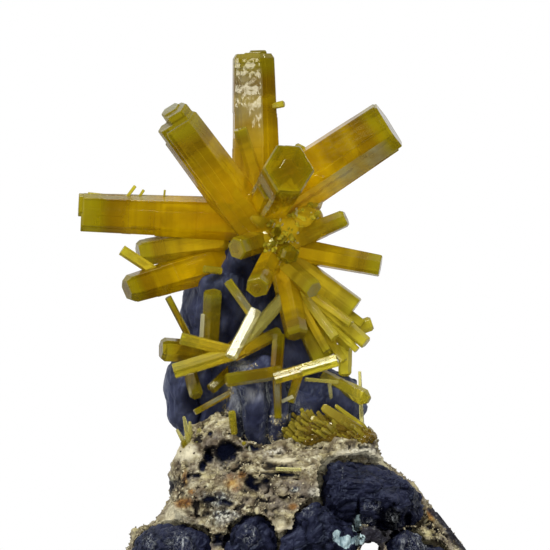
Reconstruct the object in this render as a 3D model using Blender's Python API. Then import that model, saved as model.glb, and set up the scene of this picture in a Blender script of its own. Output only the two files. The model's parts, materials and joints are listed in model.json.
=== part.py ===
"""Pyromorphite specimen: yellow hexagonal prisms on a black manganese-oxide column in a pale earthy matrix.

Everything is modelled in millimetres and scaled to metres at the end. The origin is on the flat cut base,
+Z points up the column, and -Y is the side that shows the crystals best.
Separate solids keep a clearance of GAP where one grows out of another.
"""

import math
import random
from dataclasses import dataclass

import bmesh
import bpy
from mathutils import Euler, Matrix, Vector, noise

METRES_PER_MM = 0.001
GAP = 0.3
COARSE_BALL = 1.1  # a coarse ball's faces lie inside its radius, so it is made this much larger
FRONT = Vector((0.0, -1.0, 0.0))
UP = Vector((0.0, 0.0, 1.0))
SIXTY = math.radians(60.0)

# Driving dimensions of the whole specimen, in millimetres: where the burst's prisms meet, and the mound's
# outline as levels of (height, left, right, front, back).
HUB = (-2.0, -1.8, 34.6)
MOUND_LEVELS = [
    (-1.5, -15.4, 20.6, -12.0, 13.0),
    (1.8, -14.9, 19.5, -11.8, 12.6),
    (3.6, -13.7, 17.9, -11.4, 12.0),
    (5.2, -11.2, 16.6, -11.0, 11.4),
    (7.6, -10.4, 14.6, -10.4, 10.8),
    (10.0, -10.1, 11.8, -9.2, 10.0),
    (12.0, -9.2, 9.9, -7.4, 8.6),
    (13.6, -7.2, 8.4, -5.6, 7.2),
]


# ---------------------------------------------------------------- mesh helpers

def object_of(name, mesh):
    """A new object of this mesh, linked to the scene."""
    made = bpy.data.objects.new(name, mesh)
    bpy.context.scene.collection.objects.link(made)
    return made


def object_from_bmesh(name, bm):
    mesh = bpy.data.meshes.new(name)
    bm.to_mesh(mesh)
    bm.free()
    return object_of(name, mesh)


def apply_modifiers(obj):
    """Makes the evaluated mesh the object's own, and drops the modifiers."""
    graph = bpy.context.evaluated_depsgraph_get()
    mesh = bpy.data.meshes.new_from_object(obj.evaluated_get(graph))
    obj.modifiers.clear()
    obj.data = mesh
    return obj


def cut_away(obj, cutter):
    """Cuts the cutter's space out of obj with the EXACT solver, and drops the cutter."""
    modifier = obj.modifiers.new("cut", "BOOLEAN")
    modifier.operation = "DIFFERENCE"
    modifier.solver = "EXACT"
    modifier.use_self = True
    modifier.object = cutter
    apply_modifiers(obj)
    bpy.data.objects.remove(cutter)
    return obj


def join_all(parts):
    """Joins closed solids that run into one another in one pass."""
    joined, others = parts[0], parts[1:]
    if not others:
        return joined
    group = bpy.data.collections.new("joined")
    for other in others:
        group.objects.link(other)
    modifier = joined.modifiers.new("union", "BOOLEAN")
    modifier.operation = "UNION"
    modifier.solver = "EXACT"
    modifier.operand_type = "COLLECTION"
    modifier.collection = group
    apply_modifiers(joined)
    for other in others:
        bpy.data.objects.remove(other)
    bpy.data.collections.remove(group)
    return joined


def keep_largest_body(obj):
    """A cut can leave chips behind: only the largest connected body stays."""
    bm = bmesh.new()
    bm.from_mesh(obj.data)
    unseen = set(bm.verts)
    bodies = []
    while unseen:
        body = {unseen.pop()}
        edge_of_search = list(body)
        while edge_of_search:
            vert = edge_of_search.pop()
            for edge in vert.link_edges:
                other = edge.other_vert(vert)
                if other not in body:
                    body.add(other)
                    edge_of_search.append(other)
        unseen -= body
        bodies.append(body)
    largest = max(bodies, key=len)
    chips = [vert for vert in bm.verts if vert not in largest]
    bmesh.ops.delete(bm, geom=chips, context="VERTS")
    bmesh.ops.triangulate(bm, faces=bm.faces)
    bm.to_mesh(obj.data)
    bm.free()
    return obj


def grown(obj, by, keep=1.0):
    """A copy of a solid, swollen along its normals, for cutting a clearance round it. keep thins it out."""
    if keep < 1.0:
        coarse = object_of("coarse", obj.data.copy())
        coarse.modifiers.new("thin", "DECIMATE").ratio = keep
        apply_modifiers(coarse)
        obj = coarse
    mesh = obj.data.copy()
    bm = bmesh.new()
    bm.from_mesh(mesh)
    bmesh.ops.remove_doubles(bm, verts=bm.verts, dist=0.001)
    bm.normal_update()
    for vert in bm.verts:
        vert.co += vert.normal * by * vert.calc_shell_factor()
    bm.to_mesh(mesh)
    bm.free()
    if keep < 1.0:
        bpy.data.objects.remove(obj)
    return object_of("clearance", mesh)


# ---------------------------------------------------------------- rock forms

@dataclass
class Lump:
    """An ellipsoid of rock: its centre, its three radii, and its turn in degrees."""
    centre: tuple
    radii: tuple
    turn: tuple = (0.0, 0.0, 0.0)


def lump_matrix(lump):
    turn = Euler([math.radians(a) for a in lump.turn]).to_matrix().to_4x4()
    stretch = Matrix.Diagonal((*lump.radii, 1.0))
    return Matrix.Translation(lump.centre) @ turn @ stretch


def rock(name, lumps, triangles, relief, relief_size, seed, voxel=0.5, extra=None):
    """Lumps melted into one closed rock, roughened by noise and reduced to about so many triangles."""
    bm = bmesh.new()
    for lump in lumps:
        bmesh.ops.create_icosphere(bm, subdivisions=4, radius=1.0, matrix=lump_matrix(lump))
    if extra:
        extra(bm)
    obj = object_from_bmesh(name, bm)
    melt = obj.modifiers.new("melt", "REMESH")
    melt.mode = "VOXEL"
    melt.voxel_size = voxel
    apply_modifiers(obj)
    offset = Vector((seed * 7.3, seed * 3.1, seed * 5.7))
    normals = [vert.normal.copy() for vert in obj.data.vertices]
    for vert, normal in zip(obj.data.vertices, normals):
        at = vert.co / relief_size + offset
        height = noise.fractal(at, 1.0, 2.0, 3) + 0.6 * noise.noise(at * 2.7)
        vert.co += normal * height * relief
    count = sum(len(face.vertices) - 2 for face in obj.data.polygons)
    thin = obj.modifiers.new("thin", "DECIMATE")
    thin.ratio = min(1.0, triangles / count)
    apply_modifiers(obj)
    return keep_largest_body(obj)


def cut_flat(obj):
    """Takes away what lies below the base plane, so that the rock stands on a flat cut."""
    bm = bmesh.new()
    size = 60.0
    bmesh.ops.create_cube(bm, size=size, matrix=Matrix.Translation((0.0, 0.0, -size / 2)))
    return cut_away(obj, object_from_bmesh("ground", bm))


def cut_slope(obj):
    """Takes away what lies beyond the slope's plane."""
    bm = bmesh.new()
    size = 60.0
    outwards = Vector(SLOPE_DIRECTION).normalized()
    turn = UP.rotation_difference(outwards).to_matrix().to_4x4()
    centre = Matrix.Translation(outwards * (SLOPE_DISTANCE + size / 2))
    bmesh.ops.create_cube(bm, size=size, matrix=centre @ turn)
    return cut_away(obj, object_from_bmesh("beyond_slope", bm))


# The black column: kidney-shaped lobes of manganese oxide grown into one another.
COLUMN_LOBES = [
    Lump((-2.3, 0.6, 30.4), (2.9, 2.7, 6.2)),
    Lump((-3.6, -0.6, 29.0), (2.2, 2.7, 4.9)),
    Lump((-4.9, -0.8, 26.8), (3.4, 3.0, 3.6)),
    Lump((-4.8, 1.4, 25.6), (4.5, 4.0, 5.8), (0, -8, 0)),
    Lump((-8.5, 0.2, 17.8), (2.6, 3.0, 4.6), (0, 0, 0)),
    Lump((-7.0, 0.2, 14.4), (2.5, 3.2, 5.2), (0, -14, 0)),
    Lump((-1.0, 1.8, 19.6), (6.6, 4.8, 8.6)),
    Lump((-1.3, -3.6, 16.6), (3.6, 3.4, 4.9), (6, 0, 0)),
    Lump((-3.4, -3.8, 19.4), (1.8, 1.9, 2.0)),
    Lump((2.4, -2.6, 14.8), (2.1, 2.4, 3.2)),
    Lump((2.0, 1.2, 23.4), (3.4, 3.4, 4.8)),
    Lump((5.6, -0.6, 16.6), (3.3, 3.3, 3.2)),
    Lump((3.0, 4.6, 16.5), (3.9, 3.2, 5.2)),
    Lump((-4.4, 5.2, 18.4), (4.1, 3.0, 6.4)),
    Lump((-1.2, 3.4, 26.6), (3.0, 2.6, 3.4)),
]

# Black lumps of the same mineral that the matrix holds, each one a separate nodule: its lobes, its triangles,
# the height and the size of its relief.
NODULES = {
    "black_boulder_right": ([
        Lump((9.4, -7.0, 7.5), (5.2, 4.4, 3.8), (0, 12, -6)),
        Lump((12.0, -5.2, 6.4), (3.0, 3.8, 3.1), (0, 24, 0)),
        Lump((6.5, -8.4, 8.0), (2.1, 2.8, 3.6), (0, -6, 0)),
        Lump((10.6, -8.4, 8.6), (3.2, 2.6, 2.4), (0, 12, 0)),
    ], 500, 0.34, 2.6),
    "black_nodule_left": ([
        Lump((-10.8, -7.2, 1.7), (3.6, 3.6, 3.1), (0, -6, 0)),
        Lump((-8.6, -8.8, 2.0), (2.6, 2.4, 2.6)),
    ], 260, 0.3, 1.8),
    "black_nodule_middle": ([
        Lump((-2.2, -10.2, 2.6), (2.6, 2.3, 3.2)),
    ], 180, 0.26, 1.6),
    "black_nodule_under": ([
        Lump((4.4, -9.8, 3.6), (3.2, 2.6, 3.4)),
        Lump((1.6, -10.8, 1.6), (2.0, 1.8, 2.3)),
        Lump((6.6, -9.4, 2.6), (1.9, 2.4, 3.0)),
    ], 240, 0.28, 1.7),
    "black_nodule_right": ([
        Lump((13.0, -8.2, 1.6), (2.4, 2.6, 2.5)),
        Lump((15.2, -6.4, 0.9), (2.2, 2.6, 2.1)),
    ], 200, 0.28, 1.6),
    "black_nodule_back": ([
        Lump((-4.5, 9.8, 4.6), (4.0, 3.0, 3.4)),
        Lump((-8.0, 8.4, 3.0), (2.6, 2.6, 2.8)),
    ], 240, 0.3, 2.0),
    "black_nodule_side": ([
        Lump((9.0, 9.0, 6.4), (3.2, 2.8, 2.9)),
    ], 160, 0.28, 1.9),
}

# The matrix's own lumps: a buttress up the column's left side, a shoulder on its right, and ledges.
MATRIX_LUMPS = [
    Lump((-6.2, -3.6, 11.4), (3.6, 3.8, 4.0), (0, 22, 0)),
    Lump((-4.9, -4.9, 13.8), (1.3, 1.9, 2.7), (0, 26, 0)),
    Lump((-8.2, -2.2, 8.4), (2.3, 5.4, 4.6)),
    Lump((-11.0, -3.4, 2.0), (3.4, 5.6, 2.8)),
    Lump((6.8, -4.0, 11.0), (4.0, 3.6, 3.2), (0, 6, 0)),
    Lump((8.0, -1.2, 10.8), (2.1, 5.4, 3.4), (0, 20, 0)),
    Lump((0.5, -7.0, 9.0), (6.0, 3.4, 3.0)),
    Lump((0.0, -8.4, 5.2), (8.0, 3.4, 3.4)),
    Lump((-7.0, -7.4, 7.2), (3.2, 3.0, 3.4)),
    Lump((4.0, 7.4, 10.0), (5.4, 3.4, 4.0)),
    Lump((-6.0, 6.2, 9.4), (4.2, 3.8, 4.8)),
]

# The straight slope that ends the crust at the right: an outward direction and its distance from the origin.
SLOPE_DIRECTION = (0.787, 0.0, 0.618)
SLOPE_DISTANCE = 16.6

# Pits where the crust has weathered away: a centre and a radius each.
MATRIX_PITS = [
    ((-4.8, -8.8, 11.6), 1.5),
    ((-6.8, -9.6, 9.9), 1.1),
    ((0.6, -11.0, 8.6), 1.1),
    ((-5.0, -12.0, 6.4), 1.3),
    ((2.2, -12.2, 6.0), 0.9),
    ((-10.6, -5.4, 8.4), 0.8),
    ((-1.0, 11.6, 8.2), 1.6),
    ((13.4, 5.4, 7.0), 1.4),
]

# The low arch that the crust leaves open under the right boulder: x from, x to, height.
ARCH = (8.3, 10.7, 2.9)


def add_mound(bm):
    """The matrix's main body: an upright loft through the mound's levels, rounded as seen from above."""
    segments = 40
    rings = []
    for height, left, right, front, back in MOUND_LEVELS:
        ring = []
        for k in range(segments):
            turn = 2 * math.pi * k / segments
            across, deep = math.cos(turn), math.sin(turn)
            x = (left + right) / 2 + (right - left) / 2 * math.copysign(abs(across) ** 0.8, across)
            y = (front + back) / 2 + (back - front) / 2 * math.copysign(abs(deep) ** 0.8, deep)
            ring.append(bm.verts.new((x, y, height)))
        rings.append(ring)
    for lower, upper in zip(rings, rings[1:]):
        for k in range(segments):
            following = (k + 1) % segments
            bm.faces.new((lower[k], lower[following], upper[following], upper[k]))
    bm.faces.new(rings[0][::-1])
    bm.faces.new(rings[-1])


def arch_cutter():
    """A tunnel with a round top, from front to back through the foot."""
    low, high, top = ARCH
    radius = (high - low) / 2
    bm = bmesh.new()
    turn = Matrix.Rotation(math.pi / 2, 4, "X")
    place = Matrix.Translation(((low + high) / 2, 0.0, top - radius))
    stretch = Matrix.Diagonal((1.0, 1.0, 1.25, 1.0))
    bmesh.ops.create_cone(
        bm, cap_ends=True, segments=10, radius1=radius, radius2=radius, depth=60.0, matrix=place @ stretch @ turn,
    )
    shift = Matrix.Translation(((low + high) / 2, 0.0, (top - radius) / 2 - 1.0))
    box = Matrix.Diagonal((2 * radius * 0.98, 59.0, top - radius + 2.0, 1.0))
    bmesh.ops.create_cube(bm, size=1.0, matrix=shift @ box)
    return object_from_bmesh("arch", bm)


def make_rocks():
    """The black column, the black nodules and the matrix that holds them, with sockets cut for them."""
    column = rock("black_column", COLUMN_LOBES, 1050, 0.34, 2.4, seed=1)
    nodules = []
    for number, (name, (lumps, triangles, relief, size)) in enumerate(NODULES.items()):
        nodule = rock(name, lumps, triangles, relief, size, seed=3 + number, voxel=0.4)
        cut_flat(nodule)
        for earlier in nodules:
            if boxes_meet(nodule, earlier):
                cut_away(nodule, grown(earlier, GAP))
        nodules.append(keep_largest_body(nodule))
    matrix = rock("matrix", MATRIX_LUMPS, 1000, 0.5, 2.2, seed=2, voxel=0.5, extra=add_mound)
    cut_flat(matrix)
    cut_slope(matrix)
    whole = object_of("matrix_whole", matrix.data.copy())
    for centre, radius in MATRIX_PITS:
        bm = bmesh.new()
        bmesh.ops.create_icosphere(bm, subdivisions=1, radius=radius, matrix=Matrix.Translation(centre))
        cut_away(matrix, object_from_bmesh("pit", bm))
    cut_away(matrix, grown(column, 2 * GAP, 0.28))
    for nodule in nodules:
        cut_away(matrix, grown(nodule, 1.6 * GAP, 0.3))
    cut_away(matrix, arch_cutter())
    keep_largest_body(matrix)
    return column, nodules, matrix, whole


# ---------------------------------------------------------------- crystals

@dataclass
class Crystal:
    """A hexagonal prism from root to tip. width is across its edges; flat is its thickness over its width;
    roll turns the front face about the axis, in degrees; waist and end scale the section at the root and
    the tip; chamfer is the pyramid face round the tip; steps are shorter individuals grown along its side,
    each (towards the front, sideways, scale, how much shorter)."""
    root: tuple
    tip: tuple
    width: float
    flat: float = 0.86
    roll: float = 0.0
    waist: float = 0.9
    end: float = 1.0
    chamfer: float = 0.12
    steps: tuple = ()


def hexagon(width, flat):
    """The six corners of a prism's section whose faces keep the crystal's 60 degree angles."""
    side = width / 2 * math.cos(SIXTY / 2)
    distances = [side * flat, side, side]
    corners = []
    for k in range(6):
        here, following = distances[k % 3], distances[(k + 1) % 3]
        along = (following - here / 2) / math.sin(SIXTY)
        turn = k * SIXTY
        normal = Vector((math.cos(turn), math.sin(turn)))
        across = Vector((-math.sin(turn), math.cos(turn)))
        corners.append(normal * here + across * along)
    return corners


def axes_of(crystal):
    """The prism's own directions: along its axis, towards the front, and sideways."""
    axis = (Vector(crystal.tip) - Vector(crystal.root)).normalized()
    towards = FRONT if abs(axis.dot(FRONT)) < 0.9 else UP
    front = (towards - axis * towards.dot(axis)).normalized()
    front.rotate(Matrix.Rotation(math.radians(crystal.roll), 3, axis))
    return axis, front, axis.cross(front)


def add_prism(bm, crystal, front_shift, side_shift, scale, shorter):
    """One closed six-sided individual, its section swept along the axis with a chamfered flat end."""
    axis, front, side = axes_of(crystal)
    length = (Vector(crystal.tip) - Vector(crystal.root)).length - shorter
    half = crystal.width / 2
    inset = 0.0 if scale == 1.0 else 0.4 + 0.5 * scale
    length -= inset
    start = Vector(crystal.root) + axis * inset + front * front_shift * half + side * side_shift * half
    chamfer = min(crystal.chamfer * crystal.width * scale, 0.4 * length)
    cut = 1.0 - 2.0 * crystal.chamfer
    stations = [(0.0, crystal.waist), (length - chamfer, crystal.end)]
    if chamfer > 0.1:
        stations.append((length, crystal.end * cut))
    rings = []
    for along, size in stations:
        ring = []
        for corner in hexagon(crystal.width * scale, crystal.flat):
            point = start + axis * along + front * corner.x * size + side * corner.y * size
            ring.append(bm.verts.new(point))
        rings.append(ring)
    for lower, upper in zip(rings, rings[1:]):
        for k in range(6):
            following = (k + 1) % 6
            bm.faces.new((lower[k], lower[following], upper[following], upper[k]))
    bm.faces.new(rings[0][::-1])
    bm.faces.new(rings[-1])


def cluster(name, crystals, masses=()):
    """Crystals grown together, joined in one solid with the masses that their roots make."""
    parts = []
    for lump in masses:
        bm = bmesh.new()
        bmesh.ops.create_icosphere(bm, subdivisions=1, radius=COARSE_BALL, matrix=lump_matrix(lump))
        parts.append(object_from_bmesh(name, bm))
    for crystal in crystals:
        for step in ((0.0, 0.0, 1.0, 0.0), *crystal.steps):
            bm = bmesh.new()
            add_prism(bm, crystal, *step)
            parts.append(object_from_bmesh(name, bm))
    joined = join_all(parts)
    joined.name = name
    return joined


# The burst: the large prisms that radiate from the column's top, and the fan below them on the right.
BURST = [
    # long prism lying to the left
    Crystal((-2.0, -1.8, 35.0), (-19.25, -2.2, 35.75), 4.1, 0.70, 5, 1.1, 0.96, 0.03,
            ((0.05, 0.36, 0.60, -0.42), (0.1, -0.42, 0.54, -0.12), (0.2, 0.1, 0.4, 0.7))),
    Crystal((-16.2, -2.0, 37.3), (-18.7, -2.0, 37.55), 0.5),
    # stout prism to the upper left, its end stepped
    Crystal((-1.9, -1.8, 34.2), (-9.75, -7.4, 44.8), 4.6, 0.80, -14, 1.06, 0.94, 0.05,
            ((0.02, 0.2, 0.66, -1.2), (-0.22, 0.02, 0.5, -1.35), (0.16, -0.44, 0.52, -0.35), (0.02, -0.62, 0.44, 1.4),
             (0.1, 0.42, 0.5, 0.2))),
    # upright prism with an etched face
    Crystal((-1.8, -1.4, 34.4), (-2.15, -1.2, 51.6), 5.1, 0.78, -24, 1.08, 0.90, 0.09,
            ((-0.2, 0.1, 0.42, -0.35), (0.2, -0.3, 0.4, 0.2), (0.3, 0.02, 0.34, -0.1), (-0.3, -0.5, 0.36, 0.12))),
    # broad prism to the upper right
    Crystal((-1.4, -1.4, 36.0), (11.4, -3.0, 44.5), 5.35, 0.8, -20, 1.12, 1.0, 0.02,
            ((-0.35, 0.34, 0.6, 0.6), (0.15, -0.2, 0.8, 0.2), (0.0, -0.5, 0.55, 5.4))),
    # prism that points forwards
    Crystal((-0.5, -1.4, 36.8), (1.4, -10.8, 40.1), 5.3, 1.1, -3, 0.92, 1.0, 0.05,
            ((-0.3, 0.45, 0.5, 3.6), (0.45, -0.1, 0.5, 4.4))),
    Crystal((-1.2, -3.0, 37.0), (-3.5, -4.6, 44.1), 1.4, 0.9, 10, 1.0, 1.0, 0.08),
    Crystal((-1.0, -2.0, 46.2), (0.9, -2.9, 46.6), 0.7),
    # thinner ones at the right
    Crystal((0.2, -2.4, 32.3), (7.1, -3.8, 35.2), 1.9, 0.9, 20, 1.3, 1.0, 0.14),
    Crystal((0.5, -1.9, 32.3), (10.55, -2.8, 30.4), 2.45, 0.85, 20, 1.1, 0.95, 0.05),
    Crystal((-0.6, -1.0, 36.0), (3.1, -0.6, 42.2), 2.2, 0.9, 10, 1.0, 1.0, 0.1),
    Crystal((-0.6, -1.8, 34.0), (4.2, -2.2, 37.6), 2.8, 0.9, 10, 1.2, 1.0, 0.2),
    Crystal((0.6, -2.0, 31.6), (8.0, -2.8, 26.2), 2.5, 0.85, -18, 1.0, 0.95, 0.06),
    Crystal((0.6, -2.4, 31.0), (3.9, -5.7, 28.0), 2.1, 0.95, 15, 0.9, 1.0, 0.08),
    Crystal((0.6, -2.0, 31.0), (2.2, -5.5, 23.4), 2.7, 0.95, 12, 1.0, 0.9, 0.1),
    Crystal((0.0, -2.2, 32.0), (-1.8, -8.6, 28.2), 2.5, 0.95, 44, 0.9, 1.0, 0.06),
    Crystal((-0.6, -1.8, 33.2), (-3.9, -5.7, 32.1), 2.4, 0.95, 0, 1.0, 1.0, 0.08),
    Crystal((0.4, -2.4, 32.2), (1.6, -6.4, 31.4), 2.1, 0.95, 15, 1.0, 0.95, 0.2),
    Crystal((-0.6, -2.4, 33.6), (0.2, -5.4, 33.8), 1.1, 0.95, 0, 1.0, 1.0, 0.2),
    # the fan
    Crystal((1.2, -1.6, 29.6), (9.1, -4.4, 22.7), 1.35, 0.9, 10, 1.3, 1.0, 0.06),
    Crystal((1.0, -1.4, 29.8), (8.5, -2.6, 24.2), 2.1, 0.85, 30, 1.1, 1.0, 0.06),
    Crystal((4.6, -1.4, 22.9), (9.7, -1.6, 24.7), 1.5, 0.95, 0, 1.0, 1.0, 0.16),
    Crystal((1.2, -1.8, 28.6), (7.8, -3.4, 22.4), 1.7, 0.9, -12, 1.0, 1.0, 0.08),
    Crystal((1.2, -1.8, 29.0), (4.7, -3.8, 20.8), 2.3, 0.9, 12, 0.9, 0.9, 0.1),
    Crystal((1.6, -1.4, 28.4), (5.6, -2.4, 21.4), 2.2, 0.9, 25, 1.0, 0.9, 0.1),
    Crystal((7.0, -2.2, 22.9), (7.0, -3.4, 19.5), 1.5, 0.85, 10, 1.0, 0.9, 0.14),
    Crystal((1.6, -2.6, 29.0), (6.0, -5.2, 23.2), 1.1, 0.9, 20, 1.0, 1.0, 0.06),
    Crystal((2.6, -2.0, 27.0), (6.9, -4.4, 20.9), 0.9, 0.9, 15, 1.0, 1.0, 0.06),
    # two blunt prisms that leave the column's left flank under the long one, and a thin one
    Crystal((-4.2, 0.0, 33.1), (-13.7, -2.2, 31.7), 3.0, 0.9, 10, 1.15, 0.9, 0.14),
    Crystal((-4.0, 0.4, 31.2), (-14.8, -4.9, 28.0), 3.9, 0.85, 16, 0.98, 0.8, 0.16),
    Crystal((-10.6, -3.2, 28.9), (-15.3, -3.7, 32.0), 1.1, 0.9, 0, 1.0, 1.0, 0.04),
    # behind
    Crystal(HUB, (-7.6, 8.4, 42.4), 3.4, 0.9, 15, 0.95, 1.0, 0.06, ((0.3, 0.3, 0.6, 1.2),)),
    Crystal((-1.4, -1.0, 35.2), (6.4, 8.0, 40.8), 3.1, 0.85, -10, 1.0, 1.0, 0.08),
    Crystal((-1.8, -1.0, 34.4), (-0.9, 12.2, 36.8), 3.3, 0.9, 5, 1.0, 0.95, 0.05, ((0.2, -0.4, 0.6, 1.4),)),
    Crystal((-2.2, -0.6, 34.0), (-10.6, 8.2, 35.2), 2.8, 0.9, 20, 1.0, 1.0, 0.08),
    Crystal((-0.8, 0.0, 32.6), (2.6, 8.6, 30.2), 2.3, 0.9, 0, 1.0, 1.0, 0.1),
    Crystal((-1.4, 0.4, 32.4), (-4.4, 7.6, 30.4), 1.9, 0.9, 0, 1.0, 1.0, 0.1),
]

# The mass that the roots make at the hub.
HUB_MASS = [
    Lump((0.7, -2.0, 33.5), (2.7, 2.3, 2.4)),
    Lump((2.7, -2.0, 35.2), (2.0, 1.8, 1.75)),
    Lump((0.4, -3.0, 31.6), (1.5, 1.5, 1.5)),
    Lump((-1.4, -2.6, 35.6), (2.4, 1.6, 1.8)),
]

# Prisms that cross one another low on the column's left front.
CROSSED = [
    Crystal((-3.4, -5.9, 21.7), (-9.4, -5.5, 23.2), 1.3, 0.85, 20, 1.0, 1.0, 0.06),
    Crystal((-3.2, -5.8, 22.0), (-10.1, -5.6, 19.9), 1.7, 0.85, 38, 1.0, 1.0, 0.05),
    Crystal((0.9, -4.0, 27.3), (-3.6, -5.9, 22.2), 1.4, 0.9, 10, 1.0, 1.0, 0.04),
    Crystal((-1.55, -4.9, 26.7), (-4.4, -7.3, 21.3), 1.3, 0.72, 18.4, 1.0, 1.0, 0.04),
    Crystal((-2.2, -5.2, 25.4), (-4.7, -4.6, 28.9), 1.0, 0.85, 20, 1.0, 1.0, 0.04),
    Crystal((-4.1, -6.4, 21.5), (0.5, -4.6, 23.8), 1.3, 0.9, 0, 1.0, 1.0, 0.08),
    Crystal((-1.5, -4.4, 24.2), (-5.4, -3.9, 21.3), 1.4, 0.9, 0, 1.0, 1.0, 0.08),
]

# Long prisms that lie across the front of the column's knob.
LONG_PRISMS = [
    Crystal((0.6, -7.0, 19.8), (-4.9, -8.4, 19.0), 1.4, 0.9, 0, 1.0, 1.0, 0.14),
    Crystal((-0.1, -7.6, 19.2), (5.6, -7.24, 20.83), 1.36, 0.9, -22, 1.0, 1.0, 0.06),
    Crystal((2.6, -7.43, 19.97), (6.2, -7.2, 21.0), 1.42, 0.9, -32.5, 1.0, 1.0, 0.06),
    Crystal((0.1, -6.4, 19.2), (0.4, -5.4, 23.6), 1.4, 0.9, 25, 1.0, 1.0, 0.1),
    Crystal((0.2, -7.2, 19.4), (0.3, -7.5, 15.2), 0.9, 0.6, 0, 1.0, 0.8, 0.08),
    Crystal((2.5, -6.6, 20.0), (1.5, -6.6, 16.8), 0.9, 0.9, 0, 1.0, 1.0, 0.1),
]

# Single crystals, each seated on the column or the matrix by itself.
SINGLES = {
    "prism_behind_left_pair": Crystal((-6.6, -1.0, 20.6), (-6.2, -4.6, 27.8), 2.1, 0.9, 30),
    "stub_prism_left": Crystal((-4.4, -1.0, 21.6), (-11.4, -3.0, 22.1), 2.5, 0.9, 14, 0.9, 1.0, 0.16),
    "thin_blade_left": Crystal((-7.2, 0.4, 20.6), (-10.7, -1.6, 27.3), 0.7, 0.8, 10, 1.0, 1.0, 0.04),
    "short_prism_left": Crystal((-9.2, -0.4, 22.0), (-7.8, -4.2, 17.4), 1.4, 0.9, 0, 1.0, 1.0, 0.16),
    "short_prism_middle": Crystal((-3.6, -3.6, 20.8), (-6.4, -5.2, 18.1), 1.2, 0.9, 20, 1.0, 1.0, 0.06),
    "thin_blade_middle": Crystal((-2.6, -3.6, 18.8), (-8.0, -5.6, 15.8), 0.65, 0.7, 20, 1.0, 1.0, 0.04),
    "spear_right": Crystal((4.8, -2.2, 19.5), (9.4, -4.4, 17.0), 2.0, 0.85, 0, 0.6, 0.9, 0.34),
    "needle_right": Crystal((8.8, -2.4, 11.8), (8.45, -3.0, 19.9), 0.45, 0.9, 0, 1.2, 0.7, 0.1),
}

LEFT_TUFT = [
    Crystal((-8.3, -4.6, 11.8), (-9.1, -5.6, 15.4), 0.6, 0.8, 10, 1.6, 0.5),
    Crystal((-8.3, -4.6, 11.8), (-8.5, -5.8, 14.9), 0.5, 0.8, 40, 1.6, 0.6),
    Crystal((-8.5, -4.6, 11.8), (-9.8, -5.4, 14.1), 0.5, 0.8, 20, 1.4, 0.6),
    Crystal((-8.0, -4.8, 11.8), (-7.5, -5.8, 14.2), 0.55, 0.8, 0, 1.5, 0.6),
    Crystal((-8.3, -4.6, 11.4), (-8.8, -5.9, 13.8), 0.9, 0.8, 0, 1.5, 0.5),
    Crystal((-8.3, -4.6, 11.2), (-7.8, -5.8, 12.9), 1.2, 0.8, 25, 1.3, 0.7),
    Crystal((-8.4, -4.6, 11.4), (-9.2, -5.7, 12.9), 1.0, 0.8, 50, 1.3, 0.7),
]
LEFT_TUFT_MASS = [Lump((-8.4, -4.9, 13.0), (1.3, 0.9, 0.7))]

CRUST_MASS = [
    Lump((4.5, -4.8, 13.9), (2.9, 1.8, 1.5)),
    Lump((7.6, -4.4, 13.3), (2.3, 1.7, 1.2)),
    Lump((2.9, -5.0, 13.1), (1.6, 1.4, 1.1)),
]
CRUST_LARGE = [
    Crystal((8.4, -5.2, 13.9), (4.7, -6.3, 16.4), 1.2, 0.5, 10, 1.1, 0.7, 0.2),
    Crystal((8.8, -4.8, 14.4), (6.0, -5.6, 16.5), 0.6, 0.6, 30, 1.0, 0.7, 0.2),
    Crystal((7.0, -5.4, 13.4), (3.6, -6.6, 15.3), 0.9, 0.6, 30, 1.0, 0.8, 0.2),
    Crystal((5.6, -4.8, 13.4), (3.2, -5.8, 15.8), 1.0, 0.6, 12, 1.0, 0.8, 0.2),
    Crystal((4.2, -5.0, 13.2), (2.2, -6.0, 15.4), 0.8, 0.6, 40, 1.0, 0.8, 0.2),
    Crystal((9.6, -4.4, 13.2), (7.4, -5.6, 14.9), 0.8, 0.6, 22, 1.0, 0.8, 0.2),
    Crystal((5.6, -5.4, 12.8), (2.0, -6.5, 13.8), 0.8, 0.6, 5, 1.0, 0.8, 0.2),
    Crystal((3.6, -5.2, 14.2), (2.6, -6.2, 16.2), 0.5, 0.7, 5, 1.0, 0.8, 0.2),
]
CRUST_SMALL_COUNT = 8


def crust_crystals():
    """The crust's larger prisms, and small ones that stand out of its mass in all directions."""
    chance = random.Random(11)
    crystals = list(CRUST_LARGE)
    for number in range(CRUST_SMALL_COUNT):
        lobe = CRUST_MASS[number % len(CRUST_MASS)]
        turn = chance.uniform(-0.95, 0.95) * math.pi / 2
        reach = chance.uniform(0.35, 0.95) * 0.85
        offset = Vector((math.sin(turn) * lobe.radii[0] * reach, -lobe.radii[1] * 0.5, lobe.radii[2] * 0.45))
        foot = Vector(lobe.centre) + offset
        lean = Vector((chance.uniform(-0.9, 0.6), chance.uniform(-1.1, -0.2), chance.uniform(0.2, 1.0)))
        tip = foot + lean.normalized() * chance.uniform(1.4, 2.3)
        crystals.append(Crystal(tuple(foot), tuple(tip), chance.uniform(0.45, 0.8), 0.85, chance.uniform(0, 60)))
    return crystals


def make_crystals(column, nodules, matrix_whole):
    """Every crystal solid, cut back to stand a clearance off the rock and off the crystals made before it."""
    solids = [
        cluster("crystal_burst", BURST, HUB_MASS),
        cluster("crossed_prisms_left", CROSSED),
        cluster("long_prisms_front", LONG_PRISMS),
    ]
    solids += [cluster(name, [crystal]) for name, crystal in SINGLES.items()]
    solids.append(cluster("crystal_tuft_left", LEFT_TUFT, LEFT_TUFT_MASS))
    solids.append(cluster("crystal_crust_right", crust_crystals(), CRUST_MASS))
    for number, solid in enumerate(solids):
        cut_away(solid, grown(column, GAP))
        if number > 0:
            cut_away(solid, grown(matrix_whole, GAP))
        for earlier in solids[:number]:
            if boxes_meet(solid, earlier):
                cut_away(solid, grown(earlier, GAP))
        keep_largest_body(solid)
    return solids


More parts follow.
